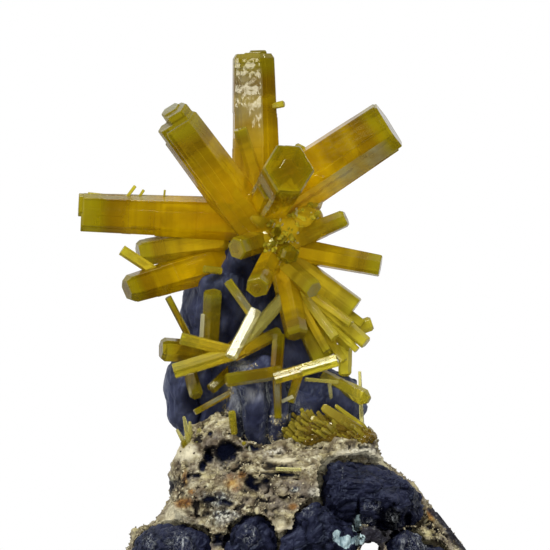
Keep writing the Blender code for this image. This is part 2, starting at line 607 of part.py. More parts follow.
def boxes_meet(one, other):
    """Whether the boxes of two solids come within the clearance of each other."""
    for axis in range(3):
        low_one = min(vert.co[axis] for vert in one.data.vertices)
        high_one = max(vert.co[axis] for vert in one.data.vertices)
        low_other = min(vert.co[axis] for vert in other.data.vertices)
        high_other = max(vert.co[axis] for vert in other.data.vertices)
        if low_one > high_other + GAP or low_other > high_one + GAP:
            return False
    return True


# ---------------------------------------------------------------- finish

def material(name, colour, roughness, transmission=0.0):
    made = bpy.data.materials.new(name)
    made.use_nodes = True
    shader = made.node_tree.nodes["Principled BSDF"]
    shader.inputs["Base Color"].default_value = (*colour, 1.0)
    shader.inputs["Roughness"].default_value = roughness
    shader.inputs["Transmission Weight"].default_value = transmission
    return made


def main():
    for obj in list(bpy.data.objects):
        bpy.data.objects.remove(obj)
    column, nodules, matrix, matrix_whole = make_rocks()
    crystals = make_crystals(column, nodules, matrix_whole)
    bpy.data.objects.remove(matrix_whole)
    yellow = material("pyromorphite", (0.33, 0.20, 0.01), 0.15, 0.3)
    black = material("manganese_oxide", (0.02, 0.02, 0.035), 0.45)
    cream = material("earthy_crust", (0.40, 0.34, 0.22), 0.9)
    for solids, finish in ((crystals, yellow), ([column, *nodules], black), ([matrix], cream)):
        for solid in solids:
            solid.data.materials.clear()
            solid.data.materials.append(finish)
            if finish != yellow:
                solid.data.shade_smooth()
            solid.data.transform(Matrix.Scale(METRES_PER_MM, 4))


main()
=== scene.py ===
"""A pyromorphite specimen: amber hexagonal prisms on a black manganese-oxide column in a pale earthy matrix.

Sizes are in millimetres in every section and become metres where a mesh is made. -Y is the front.
"""

import json
import math

import bpy
import numpy as np
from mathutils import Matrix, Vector

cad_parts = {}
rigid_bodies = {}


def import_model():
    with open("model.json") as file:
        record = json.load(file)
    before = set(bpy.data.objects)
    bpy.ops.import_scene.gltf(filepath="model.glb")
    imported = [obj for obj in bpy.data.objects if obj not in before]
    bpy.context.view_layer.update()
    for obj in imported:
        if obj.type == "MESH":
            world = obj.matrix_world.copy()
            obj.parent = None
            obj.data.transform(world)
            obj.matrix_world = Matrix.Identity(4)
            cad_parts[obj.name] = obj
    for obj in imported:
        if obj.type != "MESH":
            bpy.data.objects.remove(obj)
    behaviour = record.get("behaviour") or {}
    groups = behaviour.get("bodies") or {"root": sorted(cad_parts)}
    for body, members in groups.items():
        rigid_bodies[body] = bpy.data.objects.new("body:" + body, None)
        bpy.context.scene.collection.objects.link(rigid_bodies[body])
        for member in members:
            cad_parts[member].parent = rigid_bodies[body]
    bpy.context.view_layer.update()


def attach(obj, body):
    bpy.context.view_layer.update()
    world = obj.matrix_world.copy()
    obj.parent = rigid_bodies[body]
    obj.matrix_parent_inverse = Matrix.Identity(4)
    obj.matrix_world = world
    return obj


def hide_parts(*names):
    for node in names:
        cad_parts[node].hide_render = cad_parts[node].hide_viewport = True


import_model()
MM = 0.001


# ------------------------------------------------------------------ camera, light and floor
# A long lens looks level at the specimen from the front. White walls and a white table stand all round it except
# behind the camera, a soft box hangs over its front, and a weak fill lights the faces that look forwards.
VIEW_WIDTH = 55.0
CAMERA_DISTANCE = 2000.0
SENSOR = 36.0
camera = bpy.data.objects.new("camera", bpy.data.cameras.new("camera"))
bpy.context.scene.collection.objects.link(camera)
camera.data.sensor_width = SENSOR
camera.data.lens = SENSOR * CAMERA_DISTANCE / VIEW_WIDTH
camera.location = (0.0, -CAMERA_DISTANCE * MM, 29.5 * MM)
camera.rotation_euler = (math.radians(90.0), 0.0, 0.0)
bpy.context.scene.camera = camera
bpy.context.scene.view_settings.view_transform = "Standard"


def area_light(name, place, aim, size, watts, glossy=True):
    """A square soft light at place that faces aim."""
    light = bpy.data.objects.new(name, bpy.data.lights.new(name, "AREA"))
    bpy.context.scene.collection.objects.link(light)
    light.data.size = size * MM
    light.data.energy = watts
    place, aim = Vector(place) * MM, Vector(aim) * MM
    light.location = place
    light.rotation_euler = (aim - place).to_track_quat("-Z", "Y").to_euler()
    light.visible_glossy = glossy
    light.visible_transmission = False
    light.visible_camera = False


CENTRE = (0.0, 0.0, 28.0)
area_light("soft_box", (-90.0, -230.0, 330.0), CENTRE, 150.0, 1.15)
area_light("front_fill", (40.0, -420.0, 60.0), CENTRE, 240.0, 0.45, glossy=False)
area_light("left_panel", (-310.0, -278.0, 45.0), (-2.0, -1.0, 44.0), 46.0, 0.06)

world = bpy.data.worlds.new("studio")
bpy.context.scene.world = world
world.use_nodes = True
nodes, links = world.node_tree.nodes, world.node_tree.links
nodes.clear()
WALL_STRENGTH = 0.85
DARK_STRENGTH = 0.02
MATT_STRENGTH = 0.55
LEFT_SHARE = 0.35


def world_node(kind, operation=None, *values):
    """A new node of the world; each value is another node's output or a number for the socket in its place."""
    made = nodes.new(kind)
    if operation:
        made.operation = operation
    for socket, value in zip(made.inputs, values):
        if isinstance(value, bpy.types.NodeSocket):
            links.new(value, socket)
        else:
            socket.default_value = value
    return made


def eased(value, start, stop, low, high):
    """low before start, high after stop, and a smooth step between them."""
    made = world_node("ShaderNodeMapRange")
    made.interpolation_type = "SMOOTHSTEP"
    links.new(value, made.inputs["Value"])
    for socket, number in (("From Min", start), ("From Max", stop), ("To Min", low), ("To Max", high)):
        made.inputs[socket].default_value = number
    return made.outputs["Result"]


# a reflection sees the walls, brighter at the left, but not the dark room behind the camera or the ground; a matt
# surface sees one even glow
direction = world_node("ShaderNodeTexCoord")
split = world_node("ShaderNodeSeparateXYZ", None, direction.outputs["Generated"])
leftwards = world_node("ShaderNodeMath", "MULTIPLY_ADD", split.outputs["X"], -LEFT_SHARE, split.outputs["Y"])
walls = eased(leftwards.outputs[0], -0.62, 0.08, DARK_STRENGTH, WALL_STRENGTH)
above = eased(split.outputs["Z"], -0.85, -0.1, 0.12, 1.0)
mirrored = world_node("ShaderNodeMath", "MULTIPLY", walls, above)
path = world_node("ShaderNodeLightPath")
matt = nodes.new("ShaderNodeMix")
matt.data_type = "FLOAT"
links.new(path.outputs["Is Diffuse Ray"], matt.inputs["Factor"])
links.new(mirrored.outputs[0], matt.inputs["A"])
matt.inputs["B"].default_value = MATT_STRENGTH
through = world_node("ShaderNodeMath", "MAXIMUM", path.outputs["Is Camera Ray"], path.outputs["Is Transmission Ray"])
seen = nodes.new("ShaderNodeMix")
seen.data_type = "FLOAT"
links.new(through.outputs[0], seen.inputs["Factor"])
links.new(matt.outputs["Result"], seen.inputs["A"])
seen.inputs["B"].default_value = 1.0
background = world_node("ShaderNodeBackground")
links.new(seen.outputs["Result"], background.inputs["Strength"])
background.inputs["Color"].default_value = (1.0, 1.0, 1.0, 1.0)
world_node("ShaderNodeOutputWorld", None, background.outputs[0])


def new_object(name, points, faces):
    """A mesh object with these points in millimetres."""
    mesh = bpy.data.meshes.new(name)
    mesh.from_pydata((points * MM).tolist(), [], faces)
    obj = bpy.data.objects.new(name, mesh)
    bpy.context.scene.collection.objects.link(obj)
    return obj


FLOOR_RADIUS = 88.0
FLOOR_BACK = 58.0
FLOOR_SEGMENTS = 96
turns = np.linspace(0.0, 2 * np.pi, FLOOR_SEGMENTS, endpoint=False)
rim = np.stack([np.cos(turns), np.sin(turns), 0.0 * turns], axis=1) * FLOOR_RADIUS
rim[:, 1] += FLOOR_BACK
floor = new_object("floor", rim, [list(range(FLOOR_SEGMENTS))])
paint = bpy.data.materials.new("pale_floor")
paint.use_nodes = True
paint.node_tree.nodes["Principled BSDF"].inputs["Base Color"].default_value = (0.86, 0.86, 0.86, 1.0)
paint.node_tree.nodes["Principled BSDF"].inputs["Roughness"].default_value = 0.7
floor.data.materials.append(paint)
floor.visible_glossy = False


# ------------------------------------------------------------------ crystals: shape
# Pyromorphite prisms are six-sided with flat ends. Each face grew at its own pace and in layers, so it carries low
# ledges across and fine steps along. Several parallel individuals often make one crystal and end at different heights.
FRONT = np.array((0.0, -1.0, 0.0))
UP = np.array((0.0, 0.0, 1.0))
SIXTY = math.radians(60.0)
RAMP = 0.03
END_FACE = 6


def unit(vector):
    return vector / np.linalg.norm(vector)


def turned(vector, axis, degrees):
    """The vector turned about the axis by Rodrigues' formula."""
    angle = math.radians(degrees)
    along = axis * np.dot(axis, vector) * (1 - math.cos(angle))
    return vector * math.cos(angle) + np.cross(axis, vector) * math.sin(angle) + along


def crystal(root, tip, width, flat=0.9, roll=0.0, waist=1.0, end=1.0, chamfer=0.1, steps=(), tone=0.0, etch_and_sheen=(0, 0.0),
            zones=1.0):
    """A crystal's axis from root to tip, the width across its corners, how much nearer its front and back faces are,
    its turn about the axis, its width at the root and at the tip, and the bevel round its end. steps are parallel
    individuals grown with it: the shifts to the front and the side in half widths, a scale, and how much shorter.
    tone shifts its colour, darker below 0, paler above 0 and whitish above 1; the next argument is the face that is
    etched and grey, its grey partly a painted reflection, as a side from 0 to 5 or END_FACE, and how much; zones makes
    its growth zones longer or shorter."""
    return dict(root=root, tip=tip, width=width, flat=flat, roll=roll, waist=waist, end=end, chamfer=chamfer,
                steps=steps, tone=tone, etch_and_sheen=etch_and_sheen, zones=zones)


def chip(root, tip, width, **more):
    """A small crystal that widens a little to its tip."""
    return crystal(root, tip, width, 0.86, 0.0, 0.9, 1.0, 0.12, **more)


def prism(form, towards=0.0, sideways=0.0, scale=1.0, shorter=0.0, seed=0, detail=1.0, number=0.5):
    """One hexagonal individual as rings of points; number is its crystal's own random number. At each height the six
    faces stand at their own distances from the axis: width times flat or 1, times the taper from waist to end, less
    the ledges passed on that face. A corner is where two neighbouring faces meet, cut by a narrow bevel. Each face
    carries shallow strips along it. The end is a bevel and a flat face with two low terraces. Returns points, faces
    and the values of the three UV maps."""
    chance = np.random.default_rng(seed)
    root, tip = np.array(form["root"], float), np.array(form["tip"], float)
    axis = unit(tip - root)
    ahead = FRONT if abs(axis @ FRONT) < 0.9 else UP
    front = turned(unit(ahead - axis * (ahead @ axis)), axis, form["roll"])
    side = np.cross(axis, front)
    half = form["width"] / 2
    inset = 0.0 if scale == 1.0 else 0.4 + 0.5 * scale
    length = np.linalg.norm(tip - root) - shorter - inset
    origin = root + axis * inset + front * towards * half + side * sideways * half
    reach = half * math.cos(SIXTY / 2) * scale
    cut = min(form["chamfer"] * form["width"] * scale, 0.4 * length)
    bases = reach * np.array([form["flat"], 1.0, 1.0, form["flat"], 1.0, 1.0])

    # ledges: each on one face, between its own two heights
    count = int((1 + length * 0.45) * detail)
    low = chance.uniform(0.1, 0.9, count) * length
    high = low + chance.uniform(0.05, 0.5, count) * length
    face = chance.integers(0, 6, count)
    depth = chance.uniform(-0.4, 1.0, count) * 0.022 * form["width"] * scale
    breaks = np.concatenate([low, low + RAMP, high, high + RAMP])
    heights = np.concatenate([[0.0, 0.5 * length, length - cut], breaks[breaks < length - cut]])
    heights = np.unique(np.round(heights, 3))
    passed = np.clip((heights[:, None] - low) / RAMP, 0, 1) - np.clip((heights[:, None] - high) / RAMP, 0, 1)
    taper = form["waist"] + (form["end"] - form["waist"]) * heights / length
    distances = bases[None, :] * taper[:, None]
    for k in range(6):
        distances[:, k] -= (passed * depth * (face == k)).sum(axis=1)
    top = distances[-1]
    rows = list(zip(heights, distances))
    terraces = ((1.0, 0.0), (0.74, 0.0), (0.72, -0.008), (0.40, -0.008), (0.38, 0.004))
    for share, lift in terraces:
        rows.append((length + lift * scale, (top - cut * 0.62) * share))

    strips = np.array([0.0, 0.3, 0.32, 0.62, 0.64, 1.0])
    reliefs = chance.uniform(-0.006, 0.008, (6, 2)) * form["width"] * scale * detail
    bevel = 0.035
    rings = []
    for height, distance in rows:
        ring = []
        for k in range(6):
            here, before, after = distance[k], distance[k - 1], distance[(k + 1) % 6]
            start = -(before - here * 0.5) / math.sin(SIXTY)
            stop = (after - here * 0.5) / math.sin(SIXTY)
            run = start + (stop - start) * (bevel + strips * (1 - 2 * bevel))
            fade = min(1.0, here / bases[k])
            relief = np.array([0, 0, reliefs[k, 0], reliefs[k, 0], reliefs[k, 1], 0]) * fade
            normal = front * math.cos(k * SIXTY) + side * math.sin(k * SIXTY)
            across = -front * math.sin(k * SIXTY) + side * math.cos(k * SIXTY)
            ring.append(normal * (here + relief)[:, None] + across * run[:, None])
        rings.append(np.concatenate(ring) + origin + axis * height)
    around = len(rings[0])
    points = np.concatenate(rings + [[origin, origin + axis * rows[-1][0]]])
    foot, peak = len(points) - 2, len(points) - 1
    r, c = (index.ravel() for index in np.meshgrid(np.arange(len(rings) - 1), np.arange(around), indexing="ij"))
    n = (c + 1) % around
    quads = np.stack([r * around + c, r * around + n, (r + 1) * around + n, (r + 1) * around + c], axis=1)
    c1 = np.arange(around)
    n1 = (c1 + 1) % around
    last = (len(rings) - 1) * around
    foot_fan = np.stack([np.full(around, foot), n1, c1], axis=1)
    peak_fan = np.stack([np.full(around, peak), last + c1, last + n1], axis=1)
    from_tip = np.maximum(length - heights + shorter, 0.002)
    from_tip = np.concatenate([from_tip, [share - 1.0 for share, _ in terraces]])
    turn = np.arange(around + 1) / around
    along = np.concatenate([np.stack([from_tip[r], from_tip[r], from_tip[r + 1], from_tip[r + 1]], axis=1).ravel(),
                            np.full(around * 3, length), np.tile((-1.0, from_tip[-1], from_tip[-1]), around)])
    fan_turn = np.stack([turn[c1], turn[c1], turn[c1 + 1]], axis=1).ravel()
    turning = np.concatenate([np.stack([turn[c], turn[c + 1], turn[c + 1], turn[c]], axis=1).ravel(), fan_turn,
                              fan_turn])
    many = np.ones(len(along))
    etch_sheen_face, etch_and_sheen = form["etch_and_sheen"]
    etch_and_sheen = etch_and_sheen if scale == 1.0 or etch_sheen_face == END_FACE else 0.0
    maps = {
        "axis": np.stack([along, turning], axis=1),
        "self": np.stack([many * number, many * form["width"] * form["zones"]], axis=1),
        "tint": np.stack([many * form["tone"], many * (etch_sheen_face + etch_and_sheen)], axis=1),
    }
    return points, quads.tolist() + foot_fan.tolist() + peak_fan.tolist(), maps


def crystal_object(name, individual):
    """The mesh object of one individual, with its UV maps: axis (mm from the tip, or on the end the share of the way
    to its centre below 0; turn round the axis), self (a random number, the width in mm) and tint (its tone; the
    etched face's number plus how much, its grey partly a painted reflection)."""
    points, faces, maps = individual
    obj = new_object(name, points, faces)
    for layer, values in maps.items():
        obj.data.uv_layers.new(name=layer).data.foreach_set("uv", values.ravel())
    return obj


def applied(obj):
    """Makes the evaluated mesh the object's own."""
    graph = bpy.context.evaluated_depsgraph_get()
    mesh = bpy.data.meshes.new_from_object(obj.evaluated_get(graph))
    obj.modifiers.clear()
    obj.data = mesh
    return obj


MASS_ROWS = 34
MASS_COLUMNS = 56
MASS_WAVES = 9
MASS_DEPTH = 9.0


def mass(centre, radii, seed, tone=0.0, waves=4.0):
    """A rounded uneven body where crystals have grown into one another: a sphere scaled to radii whose distance from
    the centre is varied by crossing sine waves, about this many round it. Its colour is that of a prism MASS_DEPTH mm
    from the tip. Returns points, faces and the values of the UV maps, as prism does."""
    chance = np.random.default_rng(seed)
    down = np.repeat(np.linspace(0, np.pi, MASS_ROWS + 2)[1:-1], MASS_COLUMNS)
    round_ = np.tile(np.arange(MASS_COLUMNS) * 2 * np.pi / MASS_COLUMNS, MASS_ROWS)
    ways = np.stack([np.sin(down) * np.cos(round_), np.sin(down) * np.sin(round_), np.cos(down)], axis=1)
    ways = np.concatenate([ways, [(0.0, 0.0, 1.0), (0.0, 0.0, -1.0)]])
    reach = np.ones(len(ways))
    for _ in range(MASS_WAVES):
        reach += 0.035 * np.sin(ways @ chance.normal(0, waves, 3) + chance.uniform(0, 2 * np.pi))
    points = np.array(centre) + ways * reach[:, None] * np.array(radii)
    r, c = (index.ravel() for index in np.meshgrid(np.arange(MASS_ROWS - 1), np.arange(MASS_COLUMNS), indexing="ij"))
    n = (c + 1) % MASS_COLUMNS
    row, after = r * MASS_COLUMNS, (r + 1) * MASS_COLUMNS
    quads = np.stack([row + c, after + c, after + n, row + n], axis=1)
    c1 = np.arange(MASS_COLUMNS)
    n1 = (c1 + 1) % MASS_COLUMNS
    top, bottom, last = len(points) - 2, len(points) - 1, (MASS_ROWS - 1) * MASS_COLUMNS
    fans = [np.stack([np.full(MASS_COLUMNS, top), c1, n1], axis=1),
            np.stack([np.full(MASS_COLUMNS, bottom), last + n1, last + c1], axis=1)]
    many = np.ones(len(quads) * 4 + 6 * MASS_COLUMNS)
    maps = {
        "axis": np.stack([many * MASS_DEPTH, many * 0.3], axis=1),
        "self": np.stack([many * 0.5, many * 4.0], axis=1),
        "tint": np.stack([many * tone, many * 0.0], axis=1),
    }
    return points, quads.tolist() + fans[0].tolist() + fans[1].tolist(), maps


def grown_together(name, crystals, first_seed, detail=1.0, masses=()):
    """A crystal group as one closed solid: the union of every individual of every crystal in the list and of the
    masses at their roots."""
    parts = []
    for order, form in enumerate(crystals):
        number = np.random.default_rng(first_seed + order * 17).uniform()
        for step, (towards, sideways, scale, shorter) in enumerate([(0.0, 0.0, 1.0, 0.0), *form["steps"]]):
            seed = first_seed + order * 17 + step
            parts.append(crystal_object(name, prism(form, towards, sideways, scale, shorter, seed, detail, number)))
    parts += [crystal_object(name, body) for body in masses]
    joined, others = parts[0], parts[1:]
    if others:
        group = bpy.data.collections.new(name)
        for other in others:
            group.objects.link(other)
        union = joined.modifiers.new("union", "BOOLEAN")
        union.operation = "UNION"
        union.solver = "MANIFOLD"
        union.operand_type = "COLLECTION"
        union.collection = group
        applied(joined)
        for other in others:
            bpy.data.objects.remove(other)
        bpy.data.collections.remove(group)
    joined.name = name
    joined.data.name = name
    joined.data.materials.clear()
    return joined


# ------------------------------------------------------------------ crystals: finish
# Glassy lead phosphate, amber at the root and olive green at the tip, with brown growth bands near the tip. Light
# passes into it and comes back out from inside, so the edges glow and the ends that face forwards look deep.


def node(tree, kind, settings=None, **inputs):
    """A new node with its settings and sockets. A socket is named, with _ for a blank, or numbered as i0, i1 and so on,
    and is linked where its value is another node's output."""
    made = tree.nodes.new(kind)
    for key, value in (settings or {}).items():
        setattr(made, key, value)
    for key, value in inputs.items():
        numbered = key[0] == "i" and key[1:].isdigit()
        socket = made.inputs[int(key[1:]) if numbered else key.replace("_", " ")]
        if isinstance(value, bpy.types.NodeSocket):
            tree.links.new(value, socket)
        else:
            socket.default_value = value
    return made


def ramp(tree, value, stops):
    """A colour ramp with these (position, colour) stops."""
    made = tree.nodes.new("ShaderNodeValToRGB")
    elements = made.color_ramp.elements
    while len(elements) > 1:
        elements.remove(elements[-1])
    for number, (position, colour) in enumerate(stops):
        element = elements[0] if number == 0 else elements.new(position)
        element.position = position
        element.color = (*colour, 1.0)
    tree.links.new(value, made.inputs[0])
    return made.outputs["Color"]


def fade(tree, value, start, stop, low=0.0, high=1.0):
    """low where the value is under start, high where it is over stop, and even between them."""
    return ramp(tree, value, ((start, (low, low, low)), (stop, (high, high, high))))


def noise(tree, place, scale, detail, roughness=0.5):
    """Noise of about this many lumps to the metre."""
    made = node(tree, "ShaderNodeTexNoise", Vector=place, Scale=scale, Detail=detail, Roughness=roughness)
    return made.outputs["Fac"]


def mixed(tree, factor, first, second, blend="MIX"):
    """The mix of two colours, each a socket or a tuple."""
    first, second = (value if isinstance(value, bpy.types.NodeSocket) else (*value, 1.0) for value in (first, second))
    settings = {"data_type": "RGBA", "blend_type": blend}
    return node(tree, "ShaderNodeMix", settings, Factor=factor, i6=first, i7=second).outputs[2]


def maths(tree, operation, *values, clamp=False):
    """The result of a sum on these values, each a socket or a number."""
    return node(tree, "ShaderNodeMath", {"operation": operation, "use_clamp": clamp},
                **{f"i{k}": value for k, value in enumerate(values)}).outputs[0]


def new_group(name, inputs, outputs):
    """A shader node group with these sockets, each a name and a kind. Returns its tree, its inputs and its outputs."""
    tree = bpy.data.node_groups.new(name, "ShaderNodeTree")
    for way, sockets in (("INPUT", inputs), ("OUTPUT", outputs)):
        for label, kind in sockets.items():
            tree.interface.new_socket(name=label, in_out=way, socket_type="NodeSocket" + kind)
    return tree, tree.nodes.new("NodeGroupInput").outputs, tree.nodes.new("NodeGroupOutput").inputs


def grouped(tree, group, **inputs):
    """The outputs of a node group used in this tree."""
    return node(tree, "ShaderNodeGroup", {"node_tree": group}, **inputs).outputs


def new_material(name, roughness, specular):
    """A material, its node tree and its shader."""
    made = bpy.data.materials.new(name)
    made.use_nodes = True
    shader = made.node_tree.nodes["Principled BSDF"]
    shader.inputs["Roughness"].default_value = roughness
    shader.inputs["Specular IOR Level"].default_value = specular
    return made, made.node_tree, shader


def growth(name, stops, end_stops):
    """The colour and the relief of prisms, as a group. stops are the growth zones' colours from the tip inwards, in
    zone lengths / 7, and end_stops the colours of the flat end from its border to its centre."""
    tree, _, outputs = new_group(name, {}, {"Colour": "Color", "Height": "Float"})
    maps = {}
    for uv_map in ("axis", "self", "tint"):
        uv = node(tree, "ShaderNodeUVMap", {"uv_map": uv_map})
        maps[uv_map] = node(tree, "ShaderNodeSeparateXYZ", Vector=uv.outputs[0]).outputs
    from_tip, turn = maps["axis"]["X"], maps["axis"]["Y"]
    number, width = maps["self"]["X"], maps["self"]["Y"]
    tint, etch_sheen_face = maps["tint"]["X"], maps["tint"]["Y"]
    sector = maths(tree, "MULTIPLY", turn, 6.0)
    on_etch_sheen_face = maths(tree, "COMPARE", maths(tree, "FLOOR", sector), maths(tree, "FLOOR", etch_sheen_face), 0.5)
    on_side = maths(tree, "GREATER_THAN", from_tip, 0.0)
    strength = maths(tree, "FRACT", etch_sheen_face)
    side_etch_sheen = maths(tree, "MULTIPLY", maths(tree, "MULTIPLY", strength, on_etch_sheen_face), on_side)
    sheen_face_is_end = maths(tree, "GREATER_THAN", etch_sheen_face, END_FACE)
    on_end = maths(tree, "MULTIPLY", sheen_face_is_end, maths(tree, "SUBTRACT", 1.0, on_side))
    end_etch_sheen = maths(tree, "MULTIPLY", strength, on_end)
    etch_and_sheen = maths(tree, "MAXIMUM", side_etch_sheen, end_etch_sheen)
    place = node(tree, "ShaderNodeTexCoord").outputs["Object"]
    # a zone is longer on a wider prism, and its borders wander
    zone = maths(tree, "MULTIPLY", maths(tree, "MULTIPLY_ADD", width, 0.42, 0.35),
                 maths(tree, "MULTIPLY_ADD", number, 0.6, 0.7))
    cloud = noise(tree, place, 420.0, 3.0, 0.55)
    share = maths(tree, "ADD", maths(tree, "DIVIDE", from_tip, zone), maths(tree, "MULTIPLY_ADD", cloud, 0.9, -0.45))
    share = maths(tree, "MULTIPLY", maths(tree, "MAXIMUM", share, 0.12), 1 / 7, clamp=True)
    colour = ramp(tree, share, stops)
    # thin growth bands across the prism
    seeded = maths(tree, "MULTIPLY", number, 90.0)
    line = node(tree, "ShaderNodeCombineXYZ", X=from_tip, Y=seeded, Z=0.0).outputs[0]
    bands = ramp(tree, noise(tree, line, 1.3, 4.0, 0.62),
                 ((0.3, (0.80, 0.75, 0.6)), (0.5, (1, 1, 1)), (0.72, (1.12, 1.16, 1.1))))
    colour = mixed(tree, 0.8, colour, bands, "MULTIPLY")
    # the end looks deep: a brown core, an olive border and faint lines from the centre to the corners
    inwards = maths(tree, "MULTIPLY", from_tip, -1.0)
    end_colour = ramp(tree, maths(tree, "ADD", inwards, maths(tree, "MULTIPLY_ADD", cloud, 0.7, -0.35)), end_stops)
    corner = maths(tree, "FRACT", maths(tree, "ADD", sector, 0.5))
    off_corner = maths(tree, "ABSOLUTE", maths(tree, "SUBTRACT", corner, 0.5))
    corner_line = maths(tree, "MULTIPLY", maths(tree, "LESS_THAN", off_corner, 0.035),
                        maths(tree, "GREATER_THAN", width, 1.8))
    end_colour = mixed(tree, maths(tree, "MULTIPLY", corner_line, 0.12), end_colour, (0.50, 0.44, 0.06))
    colour = mixed(tree, maths(tree, "GREATER_THAN", inwards, 0.001), colour, end_colour)
    # cloudy patches inside, and thin prisms are yellower
    clouds = ramp(tree, cloud, ((0.36, (0.84, 0.80, 0.7)), (0.52, (1, 1, 1)), (0.70, (1.14, 1.12, 1.0))))
    colour = mixed(tree, 0.8, colour, clouds, "MULTIPLY")
    thinness = node(tree, "ShaderNodeMapRange", Value=width, From_Min=1.4, From_Max=3.4, To_Min=0.22, To_Max=0.0)
    yellower = maths(tree, "MAXIMUM", maths(tree, "ADD", tint, thinness.outputs[0]), 0.0)
    whiter = maths(tree, "SUBTRACT", tint, 1.0, clamp=True)
    darker = maths(tree, "MULTIPLY", maths(tree, "MINIMUM", tint, 0.0), -1.0)
    colour = mixed(tree, yellower, colour, (0.76, 0.67, 0.05))
    # whitish above 1: a pale colour, and on the smallest hub chips and the brilliant blade partly a painted glint
    colour = mixed(tree, whiter, colour, (0.92, 0.90, 0.66))
    colour = mixed(tree, darker, colour, (0.10, 0.06, 0.002))
    # the etched face's grey colour, partly a painted reflection: patchy, and on a thick prism only near its end
    near_end = ramp(tree, maths(tree, "MULTIPLY", from_tip, 0.1),
                    ((0.08, (0, 0, 0)), (0.25, (1, 1, 1)), (0.6, (1, 1, 1)), (0.95, (0.12, 0.12, 0.12))))
    near_end = maths(tree, "MAXIMUM", near_end, maths(tree, "LESS_THAN", width, 1.6))
    grey_and_painted_sheen = maths(tree, "MAXIMUM", maths(tree, "MULTIPLY", side_etch_sheen, near_end), end_etch_sheen)
    grey_and_painted_sheen = maths(tree, "MULTIPLY", grey_and_painted_sheen, fade(tree, cloud, 0.34, 0.58, 0.35))
    tree.links.new(mixed(tree, grey_and_painted_sheen, colour, (0.42, 0.43, 0.28)), outputs["Colour"])
    # fine lines along the faces and a slight unevenness, much stronger where a face is etched
    lines = node(tree, "ShaderNodeCombineXYZ", X=maths(tree, "MULTIPLY", from_tip, 0.25),
                 Y=maths(tree, "MULTIPLY", turn, 110.0), Z=seeded).outputs[0]
    tall = node(tree, "ShaderNodeMapping", Vector=place, Scale=(1.0, 1.0, 0.6)).outputs[0]
    fine = maths(tree, "MULTIPLY_ADD", noise(tree, place, 900.0, 2.0), 0.6, noise(tree, lines, 1.0, 3.0, 0.6))
    etched = maths(tree, "MULTIPLY", noise(tree, tall, 1600.0, 1.0, 0.4), maths(tree, "MULTIPLY", etch_and_sheen, 26.0))
    tree.links.new(maths(tree, "ADD", fine, etched), outputs["Height"])
    return tree


def crystal_finish(name, group, transmission, tint):
    """The prisms' glassy skin: the colour and relief of a growth group, and reflections of this tint."""
    made, tree, shader = new_material(name, 0.07, 0.32)
    grown = grouped(tree, group)
    tree.links.new(grown["Colour"], shader.inputs["Base Color"])
    bump = node(tree, "ShaderNodeBump", Height=grown["Height"], Strength=0.10, Distance=0.00004)
    tree.links.new(bump.outputs[0], shader.inputs["Normal"])
    shader.inputs["IOR"].default_value = 1.6
    shader.inputs["Specular Tint"].default_value = (*tint, 1.0)
    shader.inputs["Transmission Weight"].default_value = transmission
    return made


END_ZONES = (
    (0.0, (0.36, 0.29, 0.004)),
    (0.2, (0.29, 0.21, 0.001)),
    (0.55, (0.26, 0.18, 0.001)),
    (0.9, (0.22, 0.14, 0.001)),
)
AMBER_ZONES = (
    (0.022, (0.35, 0.28, 0.006)),
    (0.08, (0.32, 0.25, 0.002)),
    (0.16, (0.25, 0.14, 0.001)),
    (0.24, (0.29, 0.165, 0.001)),
    (0.30, (0.46, 0.295, 0.001)),
    (0.37, (0.38, 0.225, 0.001)),
    (0.50, (0.62, 0.39, 0.001)),
    (0.75, (0.66, 0.395, 0.001)),
    (1.00, (0.66, 0.365, 0.001)),
)
GOLDEN_ZONES = (
    (0.0, (0.50, 0.40, 0.07)),
    (0.3, (0.42, 0.30, 0.04)),
    (0.6, (0.27, 0.17, 0.018)),
    (1.0, (0.33, 0.21, 0.02)),
)
STRAW = (1.0, 0.97, 0.80)
NEAR_WHITE = (1.0, 0.99, 0.92)
amber_growth = growth("amber_growth", AMBER_ZONES, END_ZONES)
golden_growth = growth("golden_growth", GOLDEN_ZONES, GOLDEN_ZONES[:2])
glassy = crystal_finish("pyromorphite_prisms", amber_growth, 0.55, STRAW)
thin_glassy = crystal_finish("pyromorphite_blades", amber_growth, 0.7, NEAR_WHITE)
golden = crystal_finish("pyromorphite_crust", golden_growth, 0.6, STRAW)


